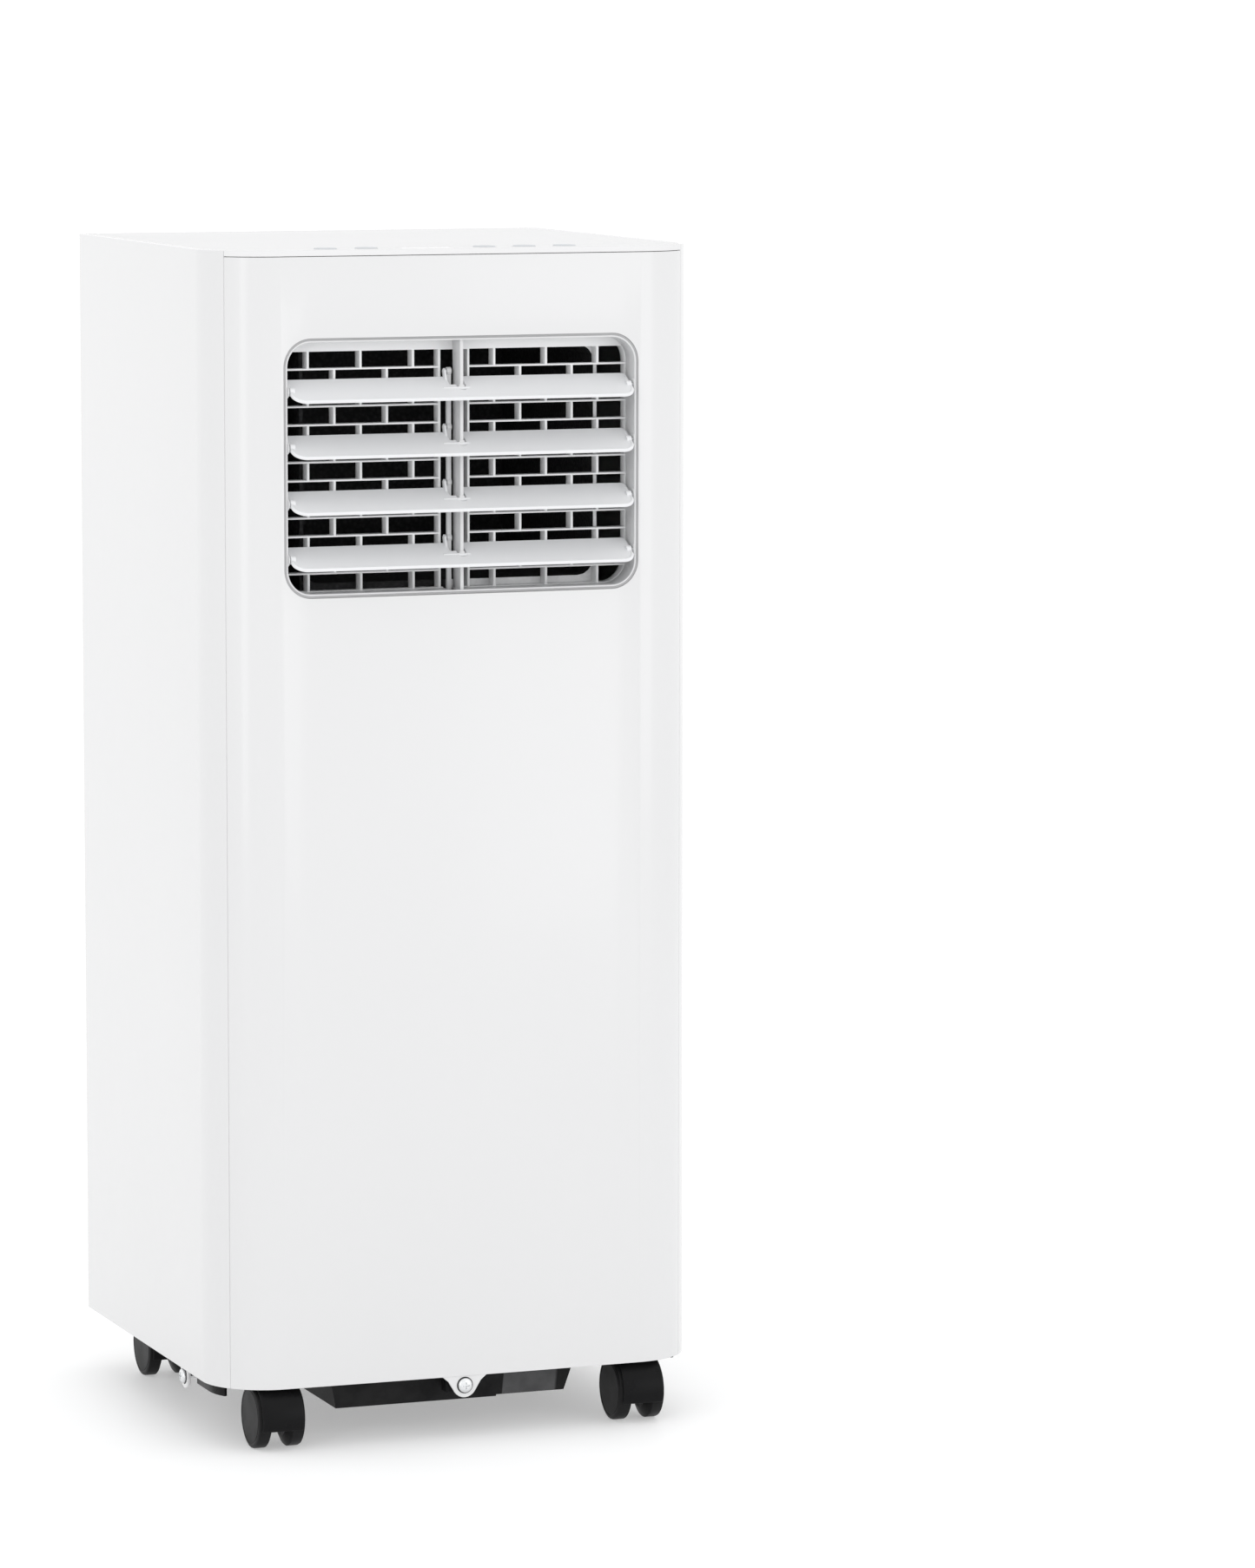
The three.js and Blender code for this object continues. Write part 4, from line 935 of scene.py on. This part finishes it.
def make_rear():
    inner = REAR_FACE - WALL
    outline = rounded_rect(REAR_HALF_WIDTH, SHELL_BOTTOM + 2, HEIGHT, 2, 4)
    holes = [rounded_rect(INTAKE_HALF, INTAKE_BOTTOM, INTAKE_TOP, 4, 6)]
    holes.append(circle(EXHAUST_X, EXHAUST_Z, EXHAUST_OUT + GAP, 96))
    for row in range(10):
        z = 74 + row * 11
        for x in (-50, 50):
            holes.append(rounded_rect(46, z, z + 6, 2.9, 6, x))
    holes.append(circle(*DRAIN, 7.2))
    holes.append(circle(*GLAND, 7.8))
    panel = plate("panel", [outline] + holes, inner, REAR_FACE, 0.5, "xz", 2)
    parts = [panel]
    cup = [(2.6, 0), (4.6, 0), (4.2, 0.45), (3.2, 0.6), (2.6, 0.35), (2.6, 0)]
    for z in REAR_SCREW_Z:
        for x in REAR_SCREW_X:
            parts.append(lathe("cup", cup, 32, "y", (x, REAR_FACE - 0.1, z)))
    finish_piece(merged("rear_panel_v", parts), "body", "white_satin", replaces=["rear_panel"])
    screws = []
    head = [(0, 0.62), (0.5, 0.3), (0.9, 0.62), (2.0, 0.55), (2.5, 0.1), (2.5, -0.5), (0, -0.5)]
    for z in REAR_SCREW_Z:
        for x in REAR_SCREW_X:
            screws.append(lathe("head", head, 24, "y", (x, REAR_FACE, z)))
    finish_piece(merged("rear_screws_v", screws), "body", "steel_zinc")


def make_filter():
    w = INTAKE_HALF - GAP
    bottom, top = INTAKE_BOTTOM + GAP, INTAKE_TOP - GAP
    rear = REAR_FACE
    frame_plate = [rounded_rect(w, bottom, top, 4, 6)]
    step_x, step_z = (2 * w - 12) / 3, (INTAKE_TOP - INTAKE_BOTTOM - 12) / 6
    for c in range(3):
        for r in range(6):
            x = -w + 6 + c * step_x + 1.5
            z = INTAKE_BOTTOM + 6 + r * step_z + 1.5
            frame_plate.append(rounded_rect((step_x - 3) / 2, z, z + step_z - 3, 3, 4, x + (step_x - 3) / 2))
    border = plate("border", frame_plate, rear - 4, rear, 0.5, "xz", 2)
    parts = [border]
    rib_pitch, bar_pitch = 7.0, 9.0
    x = -w + 10.0
    while x < w - 8:
        parts.append(block("rib", x - 0.45, x + 0.45, rear - 3.4, rear - 1.6, bottom + 5, top - 5, 0.2, 1))
        x += rib_pitch
    z = bottom + 9.0
    while z < top - 8:
        parts.append(block("rib", -w + 4, w - 4, rear - 2.6, rear - 0.9, z - 0.6, z + 0.6, 0.25, 1))
        z += bar_pitch
    parts.append(block("pull", -20, 20, rear - 1, DEPTH / 2, top - 7.7, top - 3.7, 0.8, 3))
    finish_piece(merged("intake_filter_v", parts), "intake_filter", "white_satin", replaces=["intake_filter"])


def make_net():
    w = INTAKE_HALF - GAP - 3
    net = plate("filter_net_v", [rounded_rect(w, INTAKE_BOTTOM + 4, INTAKE_TOP - 4, 2, 4)],
                REAR_FACE - 5, REAR_FACE - 3.6, 0.2, "xz", 1)
    finish_piece(net, "intake_filter", "white_satin", "filter_net")


def make_collar():
    face = DEPTH / 2
    ri, ro, d = EXHAUST_IN, EXHAUST_OUT, EXHAUST_DEPTH
    profile = [(ri, -d), (ro, -d), (ro, -1.0), (ro - 0.3, -0.3), (ro - 1.0, 0),
               (ri + 1.0, 0), (ri + 0.3, -0.3), (ri, -1.0), (ri, -d)]
    ring = lathe("ring", profile, 128, "y", (EXHAUST_X, face, EXHAUST_Z))
    parts = [ring]
    for across in (-22, 0, 22):
        half = math.sqrt(ri * ri - across * across) + 2
        parts.append(block("bar", EXHAUST_X + across - 1, EXHAUST_X + across + 1, face - 12, face - 9,
                           EXHAUST_Z - half, EXHAUST_Z + half, 0.5, 2))
    for i in range(4):
        a = math.radians(45 + 90 * i)
        lug = block("lug", -6, 6, face - 7.5, face - 4.5, ri - 3.0, ri + 1.0, 0.6, 2)
        moved(lug, Matrix.Translation((EXHAUST_X, 0, EXHAUST_Z)) @ Matrix.Rotation(a, 4, "Y"))
        parts.append(lug)
    finish_piece(merged("exhaust_collar_v", parts), "body", "white_satin", replaces=["exhaust_collar"])


def make_plug_and_gland():
    x, z = DRAIN
    profile = [(0, -6.7), (6.4, -6.7), (6.8, -6.2), (6.8, 0.3), (8.6, 0.3), (9, 0.7), (9, 1.4),
               (8.5, 1.85), (6.5, 1.9), (6.0, 1.5), (0, 1.4)]
    plug = lathe("drain_plug_v", profile, 64, "y", (x, REAR_FACE, z))
    grip = block("grip", x - 5, x + 5, REAR_FACE + 1.2, REAR_FACE + 1.9, z - 1.1, z + 1.1, 0.3, 2)
    finish_piece(merged("drain_plug_v", [plug, grip]), "drain_plug", "black_plastic", replaces=["drain_plug"])
    x, z = GLAND
    profile = [(4, -11), (7.3, -11), (7.3, 0.3), (9.6, 0.3), (10, 0.7), (10, 1.3), (9.4, 1.8),
               (7, 1.9), (5, 1.7), (4.2, 1.2), (4, 0.6), (4, -11)]
    gland = lathe("cord_gland_v", profile, 64, "y", (x, REAR_FACE, z))
    finish_piece(gland, "body", "black_plastic", replaces=["cord_gland"])

# ---------------------------------------------------------- carried-over nodes


def flattened(obj):
    """Joins the faces that lie in one plane."""
    flat = obj.modifiers.new("flat", "DECIMATE")
    flat.decimate_type = "DISSOLVE"
    flat.angle_limit = math.radians(1.0)


def soften(node, material, width, segments=2):
    """Keeps a CAD node, rounds its edges with modifiers and gives it its material."""
    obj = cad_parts[node]
    flattened(obj)
    if width:
        edge = obj.modifiers.new("edges", "BEVEL")
        edge.width = width / 1000
        edge.segments = segments
        edge.limit_method = "ANGLE"
        edge.angle_limit = math.radians(35.0)
    obj.data.materials.clear()
    obj.data.materials.append(MATS[material])


def carry_over():
    soften("drip_tray", "tray_black_painted_light", 0.8)
    soften("louver_link", "white_satin", 0.3)
    soften("swing_motor", "steel_zinc", 0.4)
    soften("swing_crank", "white_satin", 0.3)
    soften("outlet_duct", "duct_foam_painted_shade", 0.8)
    soften("control_board", "circuit_board", 0.1, 1)
    soften("evaporator_volute", "foam", 0.6)
    soften("partition_deck", "foam", 0.8)
    soften("condenser_volute", "black_plastic", 0.5)
    for node in ("evaporator_coil", "condenser_coil"):
        soften(node, "aluminium_fin", 0.25, 1)
    soften("evaporator_wheel", "white_satin", 0.2, 1)
    soften("condenser_wheel", "black_plastic", 0.2, 1)
    for node in ("evaporator_motor", "condenser_motor", "compressor"):
        soften(node, "steel_black", 0.8)
    soften("electrical_box", "steel_zinc", 1.0)
    soften("suction_pipe", "copper_tube", 0)
    soften("discharge_pipe", "copper_tube", 0)


def make_base_pan():
    """The pan, with the front end of its right skirt cut away below the shell."""
    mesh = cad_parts["base_pan"].data.copy()
    mesh.transform(Matrix.Translation((0, -SHIFT, 0)) @ Matrix.Scale(1000, 4))
    pan = link(bpy.data.objects.new("base_pan_v", mesh))
    flattened(pan)
    applied(pan)
    boolean(pan, block("corner", *SKIRT_CUT, 0.1, 1))
    bevelled(pan, 0.6, 2)
    finish_piece(pan, "body", "black_plastic", replaces=["base_pan"])


def make_screw_rings():
    """A thin dark ring round the head of each ear screw, painted shade where the head meets the ear."""
    profile = [(4.1, 0.1), (4.1, -0.12), (4.8, -0.12), (4.8, 0.1), (4.1, 0.1)]
    front = lathe("ring", profile, 48, "y", (0, -DEPTH / 2 + FRONT_EAR_INSET, EAR_Z))
    left = lathe("ring", profile, 48, "x", (-WIDTH / 2 + SIDE_EAR_INSET, LEFT_EAR_Y, EAR_Z))
    finish_piece(merged("screw_rings_v", [front, left]), "body", "black_plastic", "ring_painted_shade")


make_base_pan()
make_screw_rings()
make_seams()
make_front()
for s in (-1, 1):
    make_side(s)
make_top()
make_buttons()
make_outlet()
make_louvers()
for caster in CASTERS:
    make_caster(caster)
make_screw("front_screw_v", "front_screw",
           Matrix.Translation((0, -DEPTH / 2 - 0.7, EAR_Z)) @ Matrix.Rotation(math.radians(90), 4, "X"))
make_screw("left_screw_v", "left_screw", Matrix.Translation((-WIDTH / 2 + 1.4, LEFT_EAR_Y, EAR_Z))
           @ Matrix.Rotation(math.radians(-90), 4, "Y"))
make_rear()
make_filter()
make_net()
make_collar()
make_plug_and_gland()
carry_over()

# ------------------------------------------------------------ studio and camera


def floor_material():
    """A pale floor that gives off a little light, which keeps it and its shadow pale."""
    material, n, shader, coords = new_material("floor")
    speck = n.noise(coords, 3.0, 3.0)
    pale = n.mix(n.span(speck, 0.3, 0.7, 0, 1), (0.6, 0.602, 0.605), (0.63, 0.632, 0.635))
    n.link(pale, shader.inputs["Base Color"])
    n.link(n.span(speck, 0.3, 0.7, 0.5, 0.6), shader.inputs["Roughness"])
    shader.inputs["Specular IOR Level"].default_value = 0.2
    shader.inputs["Emission Color"].default_value = (1, 1, 1, 1)
    shader.inputs["Emission Strength"].default_value = 0.37
    return material


def area(name, location, target, size, power, size_y):
    lamp = bpy.data.lights.new(name, "AREA")
    lamp.shape = "RECTANGLE"
    lamp.size = size
    lamp.size_y = size_y
    lamp.energy = power
    obj = link(bpy.data.objects.new(name, lamp))
    obj.location = location
    obj.rotation_mode = "QUATERNION"
    obj.rotation_quaternion = (Vector(target) - Vector(location)).to_track_quat("-Z", "Y")


floor_mesh = bpy.data.meshes.new("floor")
floor_mesh.from_pydata([(-15, -15, 0), (15, -15, 0), (15, 15, 0), (-15, 15, 0)], [], [(0, 1, 2, 3)])
floor_mesh.materials.append(floor_material())
link(bpy.data.objects.new("floor", floor_mesh))

world = bpy.data.worlds.new("studio")
world.use_nodes = True
world.node_tree.nodes["Background"].inputs["Color"].default_value = (0.998, 0.999, 1.0, 1)
world.node_tree.nodes["Background"].inputs["Strength"].default_value = 1.16
bpy.context.scene.world = world

area("edge_strip", (-2.05, -1.98, 0.75), (0, 0, 0.4), 0.5, 5, 2.4)
area("front_card", (1.5, -2.6, 0.7), (0.15, 0, 0.4), 1.2, 6, 1.6)

YAW, PITCH, ROLL = math.radians(20.835), math.radians(6.916), math.radians(0.066)
camera = bpy.data.cameras.new("camera")
camera.sensor_width = 36.0
camera.lens = 154.25
camera.clip_start, camera.clip_end = 0.05, 100.0
eye = link(bpy.data.objects.new("camera", camera))
eye.location = (-1.25445, -3.68966, 0.83424)
look = Vector((math.sin(YAW) * math.cos(PITCH), math.cos(YAW) * math.cos(PITCH), -math.sin(PITCH)))
eye.rotation_mode = "QUATERNION"
eye.rotation_quaternion = look.to_track_quat("-Z", "Y") @ Matrix.Rotation(ROLL, 3, "Z").to_quaternion()
bpy.context.scene.camera = eye
bpy.context.scene.view_settings.view_transform = "Standard"
